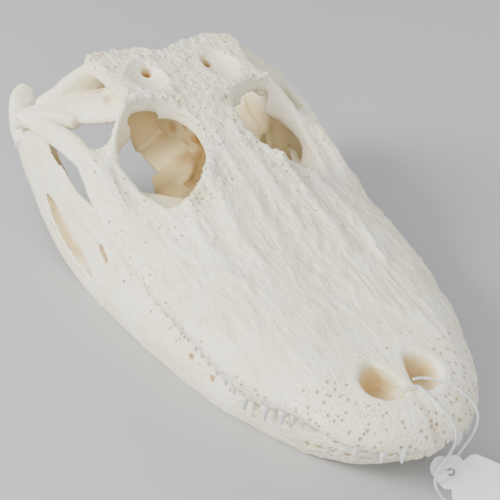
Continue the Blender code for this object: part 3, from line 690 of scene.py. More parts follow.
def dish(name, outline, depth, count=96):
    """Cutter that leaves a shallow bowl in the table: rings drawn in towards the middle of the
    outline, each at the table's height less a share of the depth."""
    edge = through(outline, count, closed=True)
    middle = edge.mean(axis=0)
    rings = []
    for inset, share in ((0.3, 1.0), (0.65, 0.8), (0.88, 0.4), (1.0, -0.1), (1.05, -1.5)):
        ring = middle + (edge - middle) * inset
        rings.append(np.column_stack((ring, table_height(ring[:, 0], ring[:, 1]) - share * depth)))
    return closed_loft(name, rings)


def oval(x, y, half_x, half_y, count=24):
    """Oval outline of (X, Y)."""
    angle = np.linspace(0, 2 * math.pi, count, endpoint=False)
    return np.column_stack((x + half_x * np.cos(angle), y + half_y * np.sin(angle)))


def table_height(x, y):
    """Top of the skull table: level behind, falling forwards, with its sides turned up."""
    fall = TABLE_FALL * np.maximum(TABLE_SLOPE_Y - y, 0.0)
    return TABLE_TOP - fall + TABLE_CURL * (np.abs(x) / TABLE_HALF_WIDTH) ** 2


def skull_forms():
    """The closed forms behind the snout that are joined to it."""
    ring = both_sides(np.array(TABLE_OUTLINE, dtype=float))
    forms = [plate("table", ring, lambda x, y: table_height(x, y) - TABLE_THICK, table_height)]
    forms += [strut(*row, sign=sign) for row in PAIRED_STRUTS for sign in (-1.0, 1.0)]
    return forms + [strut(*row) for row in MIDDLE_STRUTS]


def skull_openings():
    """The closed forms that are cut from the skull: eye openings, temporal openings, nostrils."""
    cutters = []
    for sign in (-1.0, 1.0):
        side = (sign, 1.0)
        cutters.append(well("eye", np.array(EYE_OUTLINE) * side, EYE_FLOOR, CUTTER_TOP, taper=0.97))
        cutters.append(dish("temple_dish", oval(*TEMPORAL_DISH) * side, TEMPORAL_DEPTH))
        cutters.append(well("temple", oval(*TEMPORAL_OPENING) * side, TABLE_TOP - TABLE_THICK, CUTTER_TOP,
                            taper=0.6))
        cutters.append(well("nostril", np.array(NOSTRIL_OUTLINE) * side, NOSTRIL_TOP - NOSTRIL_DEPTH,
                            NOSTRIL_TOP, taper=0.6, shift=-NOSTRIL_SHIFT * sign))
    return cutters


def roof_height(x, y):
    """Height of the snout's roof: straight lines between the named points of its cross section."""
    row = snout_at(np.clip(y, SNOUT_FRONT, SNOUT_BACK))
    far = np.abs(x)
    height = row[:, 0].copy()
    near_x, near_z = np.zeros(len(x)), row[:, 0]
    for column in (1, 3, 5):
        next_x, next_z = row[:, column], row[:, column + 1]
        share = np.clip((far - near_x) / (next_x - near_x), 0.0, 1.0)
        height = np.where(far >= near_x, near_z + share * (next_z - near_z), height)
        near_x, near_z = next_x, next_z
    return height


def skull_lie(places, normals):
    """How each point lies on the skull: its distances below the roof and from the rims, and how
    far it is on the outer side, on the table, smooth or rugged, from 0 to 1."""
    x, y, z = places.T
    far = np.abs(x)
    flat = np.column_stack((far, y))
    row = snout_at(np.clip(y, SNOUT_FRONT, SNOUT_BACK))
    below = np.where(y < SNOUT_BACK, roof_height(x, y), table_height(x, y)) - z
    outer = step_up(normals[:, 2], 0.05, 0.5) * (1 - step_up(below, 4.0, 8.0))
    on_table = step_up(y, 328, 340) * step_up(z, 118, 128)
    eye_line = distance_to(flat, through(EYE_OUTLINE, 60, closed=True))
    nostril_line = distance_to(flat, through(NOSTRIL_OUTLINE, 40, closed=True))
    dish_line = distance_to(flat, oval(*TEMPORAL_DISH))
    in_dish = inside(flat, oval(*TEMPORAL_DISH)) & (y > TABLE_FRONT)
    smooth = np.maximum(in_dish, np.maximum(0.8 * hump(nostril_line, 3.0), 0.6 * hump(dish_line, 3.0)))
    ahead = hump(far - 28, 15) * step_up(y, 175, 245) * (1 - step_up(y, 250, 262))
    brow = hump(eye_line, 13.0) * np.maximum(step_up(56 - far, 0, 12), 0.25)
    rugged = outer * np.clip(0.12 + brow + 0.85 * on_table + 0.7 * ahead, 0.0, 1.0) * (1 - smooth)
    return SimpleNamespace(far=far, y=y, z=z, flat=flat, side=row[:, 5], margin=row[:, 8], below=below,
                           outer=outer, on_table=on_table, eye_line=eye_line, dish_line=dish_line,
                           nostril_line=nostril_line, in_dish=in_dish, smooth=smooth, rugged=rugged)


def skull_move(places, normals, lie):
    """How far each point moves out, in millimetres: humps across rims, ridges and teeth, furrows
    along the plain bone, and knobs and grooves on the rugged bone."""
    y, outer, smooth = lie.y, lie.outer, lie.smooth
    table_edge = hump(distance_to(lie.flat, TABLE_OUTLINE), 4.5) * lie.on_table * step_up(y, 338, 346)
    move = outer * (EYE_RIM * hump(lie.eye_line, 4.5) + NOSTRIL_RIM * hump(lie.nostril_line - 1.5, 2.0)
                    + DISH_RIM * hump(lie.dish_line, 4.0) * ~lie.in_dish + table_edge)
    for height, width, line in SNOUT_RIDGES:
        move += outer * height * hump(distance_to(lie.flat, line), width)
    flank = step_up(np.abs(normals[:, 0]), 0.2, 0.7) * (y < TEETH_BACK)
    for back, length in UPPER_TEETH:
        move += flank * hump(lie.z - lie.margin - 8.0, 8.0) * TOOTH_BULGE * length * hump(y - back, 4.0)
    wavy = places + 3.0 * np.column_stack([lattice_noise(places, 14.0, seed) for seed in (3, 4, 5)])
    furrows = creases(wavy, FURROW_CELLS, 11) - 0.5
    fine = creases(wavy, FINE_CELLS, 13) - 0.5
    crumples = creases(wavy, CRUMPLE_CELLS, 53) - 0.5
    knobs = creases(wavy, KNOB_CELLS, 17) - 0.5
    grooves = creases(wavy, GROOVE_CELLS, 19) - 0.5
    lumps = lattice_noise(places, LUMP_CELLS, 29)
    plain = (1 - lie.rugged) * step_up(y, 45, 100) * (1 - smooth)
    mid = hump(y - 175, 75)
    move += outer * plain * ((1.1 - 0.35 * mid) * furrows + 0.4 * fine + 1.3 * mid * crumples)
    move += outer * lie.rugged * (1.25 * knobs + 0.9 * grooves + 0.6 * lumps)
    return move + 0.8 * lattice_noise(places, 26.0, 23) * (1 - smooth)


def skull_marks(places, normals, lie):
    """Four marks from 0 to 1: painted shade where each point lies deep inside, in a gap or in a recess; how
    pitted and rugged it is; and orange for real stains and for painted shade deep in holes. Where a mark has
    several causes, the largest holds."""
    far, y, z, below = lie.far, lie.y, lie.z, lie.below
    in_snout = (y < TABLE_FRONT) & (y > 240) & (far < lie.side - 8)
    in_nostril = inside(lie.flat, NOSTRIL_OUTLINE) & (y < 80)
    in_hole = inside(lie.flat, oval(*TEMPORAL_OPENING)) & (y > TABLE_FRONT) & (below < 20)
    ear = hump(distance_to(np.column_stack((far, y, z)), EAR_RECESS), 6.5)
    under = step_up(below, 16.0, 40.0) * step_up(74 - far, 0, 18) * (1 - step_up(y, 396, 408))
    gap = hump(z - lie.margin + 0.5, 2.5) * step_up(-normals[:, 2], 0.0, 0.4) * (y > 30) * (y < TEETH_BACK)
    # Painted shade, tan: deep in the room behind the snout, in the nostrils and temporal holes, under the
    # table, in the ear recess and in the gap under the tooth rim.
    deep = np.maximum.reduce((
        in_snout * step_up(below, 6.0, 24.0),
        in_nostril * step_up(below, 1.2, 6.0) * (0.3 + 0.7 * step_up(y, 34, 50)),
        in_hole * step_up(below, 4.5, 8.0),
        (y > TABLE_FRONT) * 0.85 * under,
        0.9 * ear * step_up(0.75 - normals[:, 2], 0.0, 0.4),
        0.9 * gap,
    ))
    blotches = step_up(lattice_noise(places, 7.0, 43), -0.05, 0.3)
    inner_wall = step_up(24 - far, 0, 6) * hump(y - 331, 24) * hump(z - 95, 17) * step_up(below, 12, 18)
    tip = hump(far, 1.6 + 1.5 * step_up(30 - y, 0, 20)) * step_up(26 - y, 0, 8) * lie.outer
    # Orange: real blotchy stains on the inner wall and in the ear recess and a stain at the snout tip, with
    # painted shade deep in the temporal holes and the nostrils.
    stained = np.maximum.reduce((
        inner_wall * blotches,
        in_hole * step_up(below, 6.0, 11.0),
        in_nostril * 0.5 * step_up(below, 3.0, 12.0) * step_up(y, 40, 56),
        0.55 * ear * blotches,
        0.35 * tip,
    ))
    nose = step_up(80 - y, 0, 45) * (1 - step_up(below, 26, 34)) * (1 - step_up(lie.nostril_line, 7, 1))
    pitted = ~in_nostril * np.maximum.reduce((
        0.95 * nose,
        0.6 * hump(z - lie.margin - 7, 8) * (y < 240),
        0.45 * lie.rugged * step_up(y, 150, 260) * ~lie.in_dish,
    ))
    return deep, pitted, lie.rugged, stained


def skull_relief(places, normals):
    """How far each point of the skull moves out, in millimetres, and its four marks."""
    lie = skull_lie(places, normals)
    return (skull_move(places, normals, lie), *skull_marks(places, normals, lie))


def fillets(places):
    """Where neighbouring bones flow into each other, from 0 to 1: the front edge of the table
    and the cheek where the jugal leaves the snout."""
    far, y, z = np.abs(places[:, 0]), places[:, 1], places[:, 2]
    brow = hump(y - 329, 13) * step_up(z, 108, 116)
    cheek = step_up(far, 56, 66) * step_up(y, 198, 225) * (1 - step_up(y, 330, 350)) * step_up(z, 56, 66)
    return np.clip(brow + cheek, 0.0, 1.0)


def bone_mesh(name, places, faces, relief, softening):
    """Mesh object from an even skin: softened, moved out along its normals by its relief, held
    in the solids' box, marked for the bone's material, and thinned to the limit of triangles."""
    edges = edges_of(faces)
    places = relaxed(places, edges, softening)
    places += fillets(places)[:, None] * (relaxed(places, edges, FILLET_ROUNDS) - places)
    normals = outward(places, faces)
    move, *marks = relief(places, normals)
    places = keep_in_box(places + normals * move[:, None])
    normals = outward(places, faces)
    # How far each point lies in a crease, which the material paints as tan shade.
    hollow = np.einsum("ij,ij->i", relaxed(places, edges, HOLLOW_ROUNDS) - places, normals)
    made = mesh_object(name, places, (faces,))
    face_outwards(made.data)
    for mark, values in zip(("deep", "pitted", "rugged", "stained", "hollow"), (*marks, 0.5 + hollow)):
        add_mark(made.data, mark, values)
    made.data.shade_smooth()
    triangles = 2 * len(faces)
    if triangles > TRIANGLE_LIMIT:
        thin = made.modifiers.new("thin", "DECIMATE")
        thin.ratio = TRIANGLE_LIMIT / triangles
        apply_modifiers(made)
    return made


def bone_material():
    """Bleached bone: cream with paler and greyer clouds, painted tan shade in the creases and deep inside,
    orange for real stains and for painted shade deep in holes, tan pores where it is pitted, and a bump of
    lengthwise fibres, wavy ruggedness and pores."""
    made, shader, spot = new_material("bleached_bone", 0.5)
    shader.inputs["Subsurface Weight"].default_value = 0.15
    shader.inputs["Subsurface Radius"].default_value = (0.005, 0.003, 0.0018)
    marks = {name: spot.node("ShaderNodeAttribute", {"attribute_name": name}, output=2)
             for name in ("deep", "pitted", "rugged", "stained", "hollow")}

    def noise(scale, detail, stretch=(1.0, 1.0, 1.0), distortion=0.0):
        mapped = spot.node("ShaderNodeMapping", inputs={"Vector": spot, "Scale": stretch})
        return mapped.node("ShaderNodeTexNoise", inputs={"Vector": mapped, "Scale": scale, "Detail": detail,
                                                         "Distortion": distortion})

    def pores(scale, small, large, amount):
        """Round spots, one to a cell, at the share of the cells that the pitted mark gives."""
        cell = spot.node("ShaderNodeTexVoronoi", inputs={"Vector": spot, "Scale": scale})
        colour = spot.node("ShaderNodeTexVoronoi", inputs={"Vector": spot, "Scale": scale}, output=1)
        chance = colour.node("ShaderNodeSeparateColor", inputs={"Color": colour})
        return (1 - cell.rising(small, large)) * (marks["pitted"] * amount - chance).rising(-0.05, 0.05)

    clouds = noise(28.0, 3.0)
    streaks = noise(260.0, 3.0, (1.0, 0.13, 1.0), 0.6)
    wrinkles = noise(230.0, 2.0, (1.0, 0.5, 1.0), 1.3)
    specks = noise(900.0, 2.0)
    pore = pores(240.0, 0.13, 0.34, 1.15) * 0.9 + pores(520.0, 0.12, 0.30, 0.5) * 0.4
    cream = clouds.rising(0.35, 0.65).tinted(CREAM, PALE_CREAM)
    cream = (streaks.rising(0.50, 0.72) * 0.4).tinted(cream, GREY_CREAM)
    # Painted shade: tan in the creases, from the crease mark.
    crevice_shade = marks["hollow"].rising(0.54, 0.90)
    shaded = (crevice_shade * clouds.rising(0.15, 0.65) * 0.22).tinted(cream, SHADE_TAN)
    # Painted shade: tan where the recess mark lies.
    recess_shaded = (marks["deep"] * (0.8 + clouds * 0.3)).tinted(shaded, SHADE_TAN)
    # Orange for real stains and for painted shade deep in holes.
    orange_stain_and_shade = (marks["stained"] * 0.9).tinted(recess_shaded, STAIN_AND_SHADE_ORANGE)
    plug((pore * 0.8).tinted(orange_stain_and_shade, PORE), shader, "Base Color")
    outer = 1 - marks["deep"].rising(0.2, 0.6)
    fibres = 1 - (streaks - 0.5).magnitude() * 4.0
    folds = 1 - (wrinkles - 0.5).magnitude() * 5.0
    roughened = marks["rugged"] * 0.8 + 0.15
    height = fibres * 0.25 * outer + folds * roughened * 0.4 + specks * 0.05 - pore * 0.8
    bump = height.node("ShaderNodeBump", inputs={"Strength": 1.0, "Distance": 0.0018, "Height": height})
    plug(bump, shader, "Normal")
    return made


whole = snout()
combine(whole, [eye_chamber()], "DIFFERENCE")
combine(whole, skull_forms())
combine(whole, skull_openings(), "DIFFERENCE")
bone = bone_material()
skull = bone_mesh("skull", *even_skin(whole, SKULL_GRAIN), skull_relief, SKULL_SOFTENING)
skull.data.materials.append(bone)
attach(skull, "root")
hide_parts("rostrum", "frontal", "palate", "skull_table",
            "cheek_left", "cheek_right", "quadrate_left", "quadrate_right")


# Lower jaw. Two bone branches that meet at the chin, each a loft of its cross sections with the
# blade behind the joint added, and the muscle room, its window and the joint's socket cut out.
JAW_SECTIONS = (
    (10.0, 12, 29, 10, 34, -2, 6, -2, 25),
    (18.0, 25, 29, 23, 34, -2, 15, -2, 20),
    (32.0, 41, 28, 38, 34, 6, 30, 2, 12),
    (52.0, 53, 25, 50, 36, 22, 42, 14, 4),
    (75.0, 63, 21, 58, 33, 36, 54, 30, -1),
    (100.0, 73, 20, 66, 28, 48, 66, 42, -1),
    (130.0, 83, 20, 75, 33, 56, 79, 54, -1),
    (170.0, 92, 22, 82, 39, 64, 89, 66, -1),
    (210.0, 99.5, 24, 87, 43, 70, 97, 72, -1),
    (250.0, 105, 26, 92, 51, 75, 102.5, 78, -1),
    (290.0, 109, 28, 99, 63, 80, 107.5, 84, -0.5),
    (340.0, 112.5, 34, 105, 74, 86, 111.5, 91, 5),
    (375.0, 113.5, 41, 107, 78, 90, 112, 96, 14),
    (405.0, 114, 50, 109, 82, 93, 111, 99, 27),
    (430.0, 113, 60, 109, 83, 93, 111, 99, 42),
    (447.0, 109, 70, 105, 83, 90, 107, 98, 58),
)
JAW_FRONT = JAW_SECTIONS[0][0]
JAW_BACK = JAW_SECTIONS[-1][0]
JAW_GRAIN = 1.25
JAW_SOFTENING = 3
CHIN_GAP = 0.3
JAW_ADDED = (
    ("blade", ((106, 430, 64), (104, 446, 76), (99, 457, 90), (94, 465, 98)),
     ((10, 13), (11, 11), (11, 7), (6, 3.5)), (1, 0, 0), 18),
    ("hinge_shelf", ((92, 392, 46), (92, 410, 48), (92, 428, 54), (95, 446, 68)),
     ((6, 9), (7, 9), (8, 10), (8, 8)), (1, 0, 0), 18),
)
JAW_CUT = (
    ("jaw_room", ((92, 306, 66), (92, 322, 72), (92, 345, 76), (93, 375, 82), (95, 392, 86)),
     ((4, 8), (9, 28), (11, 42), (11, 38), (6, 12)), (1, 0, 0), 24, 3.0),
    ("jaw_window", ((106, 286, 20), (107, 305, 26), (109, 330, 33), (111, 355, 41), (112, 372, 47)),
     ((11, 1.5), (11, 5.5), (11, 8), (11, 7), (11, 2)), (1, 0, 0), 20),
    ("socket", ((96, 428, 88), (108, 428, 86), (122, 426, 86)),
     ((7.4, 7.0), (6.9, 7.0), (6.9, 7.0)), (0, 0, 1), 12),
    ("clearance", ((90, 396, 101), (104, 413, 94), (118, 432, 89)),
     ((10.5, 10), (11, 11), (10, 9.5)), (0, 0, 1), 16),
)
JAW_HOLES = (
    (159.6, 89, 27.5, 1.3), (136.6, 84.5, 23.6, 1.2), (100, 67.5, 15, 1.3), (88, 62, 20, 1.0),
    (60, 54, 17, 1.0), (52, 50, 19, 1.0), (44, 46, 20, 1.0), (36, 41, 21, 1.0), (28, 35, 22, 1.0),
    (21, 27, 23, 0.9), (15, 20, 24, 0.9), (13, 12, 25, 0.9),
)
JAW_SLOT = ((282, 48), (277, 45), (273, 43))
JAW_RIDGE = ((250, 40), (290, 52), (330, 62), (370, 70), (400, 76))
JAW_GROOVE = ((270, 41), (266, 36), (262, 31))
JAW_FURROW_CELLS = (6.0, 34.0, 5.0)
JAW_BULGE = 0.35
HOLE_DEPTH = 1.8
SLOT_DEPTH = 1.6
jaw_at = track(JAW_SECTIONS)


def jaw_ring(row, sign):
    """One cross section of a branch: a smooth closed curve through its named points."""
    back, x_out, z_out, x_top, z_top, x_in, x_low, x_heel, z_low = row
    points = ((x_top, z_top), (x_out, z_out), (x_low, z_low + 2.0), (0.5 * (x_low + x_heel), z_low),
              (x_heel, z_low + 4.0), (x_in, 0.5 * (z_low + z_top)),
              (x_in + 0.3 * (x_top - x_in), z_top - 1.0))
    return upright(through(points, 56, closed=True) * (sign, 1.0), back)


def block(name, corners, front, back):
    """Straight block between two values of Y, with the same (X, Z) corners at both ends."""
    ring = np.array(corners, dtype=float)
    return closed_loft(name, [upright(ring, front), upright(ring, back)])


def jaw_form(sign):
    """One branch: the cross sections lofted, closer towards the chin, with its blade and shelf
    joined, and its room, window and socket and the flats of the chin and the foot cut out."""
    places = JAW_FRONT + (JAW_BACK - JAW_FRONT) * np.linspace(0, 1, 120) ** 1.25
    rings = [jaw_ring((back, *row), sign) for back, row in zip(places, jaw_at(places))]
    branch = closed_loft("branch", rings)
    combine(branch, [strut(*row, sign=sign) for row in JAW_ADDED])
    for row in JAW_CUT:
        combine(branch, [strut(*row, sign=sign)], "DIFFERENCE")
    edge, beyond = sign * 0.5 * CHIN_GAP, -sign * 60
    chin = block("chin", ((edge, -20), (beyond, -20), (beyond, 120), (edge, 120)), -5, 160)
    combine(branch, [chin], "DIFFERENCE")
    foot = block("foot", ((-160, -20), (160, -20), (160, 0), (-160, 0)), -5, 500)
    combine(branch, [foot], "DIFFERENCE")
    return branch


def jaw_lie(places, normals):
    """How each point lies on a branch: its distance below the rim, and how far it is on the outer
    side, in the slot and in the slot or a nerve hole, from 0 to 1."""
    x, y, z = places.T
    below = jaw_at(np.clip(y, JAW_FRONT, JAW_BACK))[:, 3] - z
    outer = step_up(normals[:, 0] * np.sign(x), 0.0, 0.5)
    side = np.column_stack((y, z))
    slot = 1 - step_up(distance_to(side, JAW_SLOT), 1.5, 3.0)
    holes = slot
    for back, wide, high, size in JAW_HOLES:
        offset = np.column_stack((np.abs(x) - wide, y - back, z - high))
        reach = np.linalg.norm(offset * (0.35, 1, 1), axis=1)
        holes = np.maximum(holes, 1 - step_up(reach, size, size + 1.2))
    return SimpleNamespace(y=y, z=z, side=side, below=below, outer=outer, slot=slot, holes=holes)


def jaw_move(places, lie):
    """How far each point moves out, in millimetres: lengthwise furrows, a long ridge, bulges of
    the tooth roots under the rim, nerve holes, and a slot that runs out into a groove."""
    wavy = places + 2.5 * np.column_stack([lattice_noise(places, 13.0, seed) for seed in (31, 32, 33)])
    move = 0.35 * lattice_noise(places, 24.0, 37) + 0.5 * (creases(wavy, JAW_FURROW_CELLS, 41) - 0.5)
    move += lie.outer * 0.9 * hump(distance_to(lie.side, JAW_RIDGE), 4.0)
    move -= lie.outer * hump(distance_to(lie.side, JAW_GROOVE), 2.2)
    swollen = lie.outer * JAW_BULGE * hump(5.0 - lie.below, 6.0) * (lie.y < 230)
    for back, _ in UPPER_TEETH:
        move += swollen * hump(lie.y - back - 4.0, 3.2)
    return move - (HOLE_DEPTH * lie.holes + SLOT_DEPTH * lie.slot) * lie.outer


def jaw_marks(places, lie):
    """The four marks of the skull, for the jaw, worked out in the same way."""
    y, z, below, outer = lie.y, lie.z, lie.below, lie.outer
    room = step_up(y, 300, 325) * (1 - step_up(y, 425, 440)) * (1 - outer)
    # Painted shade, tan: inside the muscle room and on the inner side, in the nerve holes and slot, and in
    # patches on the rim under the snout's margin.
    deep = np.maximum.reduce((
        0.9 * room * step_up(below, 3.0, 20.0),
        0.6 * (1 - outer) * step_up(y, 30, 60) * step_up(below, 4, 20) * (y < 300),
        lie.holes * outer,
        step_up(-below, -3.5, -1.0) * (y < TEETH_BACK) * step_up(lattice_noise(places, 14.0, 47), -0.1, 0.3),
    ))
    pitted = np.maximum(0.9 * outer * step_up(80 - y, 0, 45) * step_up(z, 8, 16),
                        0.55 * outer * hump(5 - below, 6) * (y < 260))
    rugged = 0.3 * outer + 0.35 * outer * step_up(y, 300, 330) * (1 - step_up(-below, -18, -6))
    # Orange: painted shade in the nerve holes and slot, and a faint band just under the rim on the outer
    # side.
    stained = np.maximum(0.8 * lie.holes * outer, 0.12 * outer * hump(2 - below, 4) * step_up(y, 150, 320))
    return deep, pitted, rugged, stained


def jaw_relief(places, normals):
    """How far each point of the jaw moves out, in millimetres, and its four marks."""
    lie = jaw_lie(places, normals)
    return (jaw_move(places, lie), *jaw_marks(places, lie))


for side, sign in (("right", -1.0), ("left", 1.0)):
    jaw = bone_mesh("jaw_" + side, *even_skin(jaw_form(sign), JAW_GRAIN), jaw_relief, JAW_SOFTENING)
    jaw.data.materials.append(bone)
    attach(jaw, "root")
    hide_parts("mandible_" + side)


# Upper teeth. Enamel cones with roots sunk in the rim, a little curved and worn, faintly grey
# and glossier than the bone. Each grows out of the swollen rim of its socket.
TOOTH_ENAMEL = (0.67, 0.68, 0.70)
TOOTH_NECK = (0.80, 0.76, 0.66)
TOOTH_LEAN = 0.12
TOOTH_BEND = 0.08
TOOTH_INSET = 1.6
TOOTH_WIDTH = 3.3
TOOTH_WIDENING = 0.26
TOOTH_SEED = 7
TOOTH_SUNK = 1.5


def tooth_grid(root, length, width, lean, bend):
    """Rings of a tooth: one parameter runs from root to tip, where the radius falls as the 0.6
    power of the distance left, and the other round it. The tip bends in by the share squared."""
    share = np.concatenate((np.linspace(-0.6, 0.0, 4), 1 - np.linspace(1, 0.04, 14) ** 1.4))[:, None]
    angle = np.linspace(0, 2 * math.pi, 20, endpoint=False)
    radius = 0.5 * width * np.minimum(1.0, np.maximum(1 - share, 0.0) ** 0.6 * 1.02)
    centre_x = root[0] + lean * share * length - bend * np.clip(share, 0, 1) ** 2 * length
    x = centre_x + radius * np.cos(angle)
    y = root[1] + radius * 1.08 * np.sin(angle)
    return np.stack((x, y, np.broadcast_to(root[2] - share * length, x.shape)), axis=-1)


def build_teeth():
    """All the upper teeth as one mesh of closed cones, each a little longer or shorter and a
    little forward or back of its place."""
    chance = np.random.default_rng(TOOTH_SEED)
    places, faces, start = [], [], 0
    for back, length in UPPER_TEETH:
        margin_x, margin_z = snout_at(back)[0][7:9]
        for sign in (-1.0, 1.0):
            grown = length * (0.92 + 0.12 * chance.random()) + TOOTH_SUNK
            across, along = sign * (margin_x - TOOTH_INSET), back + chance.uniform(-0.5, 0.5)
            grid = tooth_grid((across, along, margin_z + TOOTH_SUNK), grown,
                              TOOTH_WIDTH + TOOTH_WIDENING * length, TOOTH_LEAN * sign, TOOTH_BEND * sign)
            points, parts = loft(grid)
            places.append(points)
            faces += [part + start for part in parts]
            start += len(points)
    made = mesh_object("upper_teeth", np.vstack(places), faces)
    face_outwards(made.data)
    made.data.shade_smooth()
    return made


def enamel_material():
    """Tooth enamel: bluish grey, creamier in clouds, with fine lengthwise streaks."""
    made, shader, spot = new_material("tooth_enamel", 0.32)
    shader.inputs["Subsurface Weight"].default_value = 0.15
    shader.inputs["Subsurface Radius"].default_value = (0.002, 0.002, 0.002)
    mapped = spot.node("ShaderNodeMapping", inputs={"Vector": spot, "Scale": (1.0, 1.0, 0.2)})
    streaks = mapped.node("ShaderNodeTexNoise", inputs={"Vector": mapped, "Scale": 900.0, "Detail": 3.0})
    clouds = spot.node("ShaderNodeTexNoise", inputs={"Vector": spot, "Scale": 120.0, "Detail": 2.0})
    mixed = (clouds.rising(0.4, 0.7) * 0.6 + streaks * 0.25).tinted(TOOTH_ENAMEL, TOOTH_NECK)
    plug(mixed, shader, "Base Color")
    plug(streaks.node("ShaderNodeBump", inputs={"Strength": 0.4, "Distance": 0.0003, "Height": streaks}),
         shader, "Normal")
    return made


teeth = build_teeth()
teeth.data.materials.append(enamel_material())
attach(teeth, "root")


# String. White two-ply cotton twine threaded through the nostrils: one strand runs down the
# front of the snout to the floor, the other round the side, through the tag and back to its end in front of
# the snout tip.
STRING_WIDTH = 1.8
FRONT_STRAND = (
    (-8.9, 35.6, 57.7), (-8.3, 34.9, 61.7), (-5.4, 32.8, 65.25), (-0.5, 31.7, 65.15), (3, 30.8, 64.55),
    (4.4, 27.2, 63.55), (5.4, 23.8, 62.65), (7.3, 18, 60.75), (8.6, 13, 58.55), (11.2, 8, 54.95),
    (12.9, 4, 50), (13.4, 2, 45), (12.6, 0.8, 39), (9.2, 0, 33), (3.4, -1.6, 28.5),
    (-0.3, -2.6, 24), (-0.8, -2.8, 16), (2.2, -3.8, 8), (5.6, -6, 2.6), (9.2, -10.5, 1.1),
    (15, -17, 1), (23, -21, 1), (31, -27, 1), (34, -36, 1),
)
SIDE_STRAND = (
    (3.4, 37.4, 65.35), (8, 37, 65.15), (13, 35.2, 64.55), (18.5, 32.2, 63.55), (23.5, 28.8, 62.75),
    (27.1, 25, 60.75), (30.1, 20.6, 57.95), (34.3, 17, 53.35), (36.8, 13.4, 47.5), (36, 10.2, 42.4),
    (31.6, 7, 36.8), (25.2, 5.4, 30.2), (19.2, 4.2, 24), (15, 2, 18.6), (12.2, -0.4, 17.4),
    (10.5, -2.5, 20.2), (9.2, -4.2, 22.4), (6.4, -5.2, 23.4), (2.6, -4, 23.6),
)
STRAND_STEP = 0.25
PLY_LAY = 3.2
PLY_VALLEY = 0.78
PLY_SWELL = 0.3
COTTON = (0.80, 0.80, 0.80)
COTTON_SHADE = (0.60, 0.60, 0.62)


def strand_line(points):
    """Evenly spaced points along the smooth route of a strand."""
    fine = through(points, 3000)
    reach = np.concatenate(([0.0], np.cumsum(np.linalg.norm(np.diff(fine, axis=0), axis=1))))
    steps = np.linspace(0, reach[-1], int(reach[-1] / STRAND_STEP))
    return np.column_stack([np.interp(steps, reach, fine[:, axis]) for axis in range(3)]), reach[-1]


def twine(name, points):
    """Two-ply strand: a round profile carried along the route, its radius pinched twice round by
    the plies, which turn once every PLY_LAY millimetres."""
    line, length = strand_line(points)
    along = np.gradient(line, axis=0)
    along /= np.linalg.norm(along, axis=1)[:, None]
    wide = np.cross(along, (0.31, 0.27, 0.91))
    wide /= np.linalg.norm(wide, axis=1)[:, None]
    tall = np.cross(along, wide)
    angle = np.linspace(0, 2 * math.pi, 16, endpoint=False)
    turn = 2 * math.pi * np.arange(len(line))[:, None] * STRAND_STEP / PLY_LAY
    radius = 0.5 * STRING_WIDTH * (PLY_VALLEY + PLY_SWELL * np.abs(np.cos(angle - turn)))
    rings = (line[:, None] + wide[:, None] * (radius * np.cos(angle))[..., None]
             + tall[:, None] * (radius * np.sin(angle))[..., None])
    made = closed_loft(name, rings)
    made.data.shade_smooth()
    return made, in_place(line), length * MM


def cotton_material():
    """Soft cotton: white with grey between the fibres, and a fuzzy fine bump."""
    made, shader, spot = new_material("cotton_twine", 0.95)
    shader.inputs["Sheen Weight"].default_value = 0.3
    fuzz = spot.node("ShaderNodeTexNoise", inputs={"Vector": spot, "Scale": 2400.0, "Detail": 2.0})
    plug(fuzz.rising(0.3, 0.6).tinted(COTTON_SHADE, COTTON), shader, "Base Color")
    plug(fuzz.node("ShaderNodeBump", inputs={"Strength": 0.6, "Distance": 0.0002, "Height": fuzz}),
         shader, "Normal")
    return made


cotton = cotton_material()
for piece, node, points, end in (("twine_front", "string_front", FRONT_STRAND, "bare"),
                                 ("twine_side", "string_side", SIDE_STRAND, "knot")):
    strand, path, length = twine(piece, points)
    strand.data.materials.append(cotton)
    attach(strand, "root")
    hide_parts(node)


# Tag. A stiff white card with a scalloped end and a punched hole, threaded on the string. It
# leans with a corner on the floor and is blank.
TAG_THICK = 0.6
TAG_OUTLINE = (
    (-13, 0.6), (-12.4, 3.6), (-9.8, 6.4), (-6.8, 7.0), (-4.4, 9.4), (-0.4, 11), (2.6, 10.4),
    (3.8, 9.2), (5, 11), (6.6, 14.4), (9.9, 16.3), (15, 16.5), (44, 16.5), (48, 15.2), (50, 11.5),
    (50, 0.6),
)
TAG_HOLE_PLACE = (10.5, -2.5)
TAG_HOLE_RADIUS = 2.6
TAG_TURN = math.radians(36)
TAG_LEAN = math.radians(44)
TAG_TILT = math.radians(17)
FLOOR_GAP = 0.05
EDGE_STEPS = 240
# Share of the way from the rim of the hole to the edge, and share of half the thickness.
TAG_RINGS = (
    (0.0, -1), (0.0, 1), (0.15, 1), (0.5, 1), (0.97, 1), (1.0, 0.6), (1.0, -0.6), (0.97, -1),
    (0.5, -1), (0.15, -1),
)
CARD = (0.80, 0.79, 0.81)
CARD_FIBRE = (0.72, 0.71, 0.73)


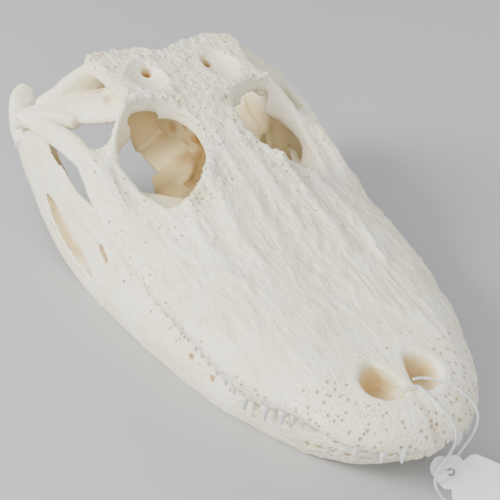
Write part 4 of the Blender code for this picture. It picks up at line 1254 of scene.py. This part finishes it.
def build_tag():
    """Card: one parameter runs round the outline and the other from the hole's rim to the edge,
    on the face and then on the back, so the grid closes on itself like a flat ring."""
    level = np.array((math.cos(TAG_TURN), -math.sin(TAG_TURN), 0.0))
    rise = np.array((math.sin(TAG_TURN) * math.cos(TAG_LEAN), math.cos(TAG_TURN) * math.cos(TAG_LEAN),
                     math.sin(TAG_LEAN)))
    along = level * math.cos(TAG_TILT) - rise * math.sin(TAG_TILT)
    across = level * math.sin(TAG_TILT) + rise * math.cos(TAG_TILT)
    facing = np.cross(along, across)
    half = np.array(TAG_OUTLINE, dtype=float)
    outline = np.vstack((half, half[::-1] * (1, -1)))
    lowest = (outline[:, :1] * along + outline[:, 1:] * across)[:, 2].min()
    lift = FLOOR_GAP + 0.5 * TAG_THICK * abs(facing[2]) - lowest
    centre = np.array((*TAG_HOLE_PLACE, lift))
    closed = np.vstack((outline, outline[:1]))
    reach = np.concatenate(([0.0], np.cumsum(np.linalg.norm(np.diff(closed, axis=0), axis=1))))
    steps = np.linspace(0, reach[-1], EDGE_STEPS, endpoint=False)
    edge = np.column_stack([np.interp(steps, reach, closed[:, axis]) for axis in range(2)])
    heading = np.arctan2(edge[:, 1], edge[:, 0])
    rim = TAG_HOLE_RADIUS * np.column_stack((np.cos(heading), np.sin(heading)))
    rings = []
    for share, face in TAG_RINGS:
        flat = rim + (edge - rim) * share
        raised = facing * (0.5 * TAG_THICK * face)
        rings.append(centre + flat[:, :1] * along + flat[:, 1:] * across + raised)
    rings = np.array(rings)
    index = np.arange(rings.shape[0] * rings.shape[1]).reshape(rings.shape[:2])
    sides = np.stack((index, np.roll(index, -1, axis=1), np.roll(index, (-1, -1), axis=(0, 1)),
                      np.roll(index, -1, axis=0)), axis=-1).reshape(-1, 4)
    made = mesh_object("paper_tag", rings.reshape(-1, 3), (sides,))
    face_outwards(made.data)
    return made


def card_material():
    """Matt card: nearly white with faint fibres, and a very fine tooth."""
    made, shader, spot = new_material("tag_card", 0.7)
    fibres = spot.node("ShaderNodeTexNoise", inputs={"Vector": spot, "Scale": 700.0, "Detail": 4.0,
                                                     "Distortion": 1.5})
    plug(fibres.rising(0.35, 0.75).tinted(CARD, CARD_FIBRE), shader, "Base Color")
    plug(fibres.node("ShaderNodeBump", inputs={"Strength": 0.3, "Distance": 0.0002, "Height": fibres}),
         shader, "Normal")
    return made


tag = build_tag()
tag.data.materials.append(card_material())
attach(tag, "root")
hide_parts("tag")
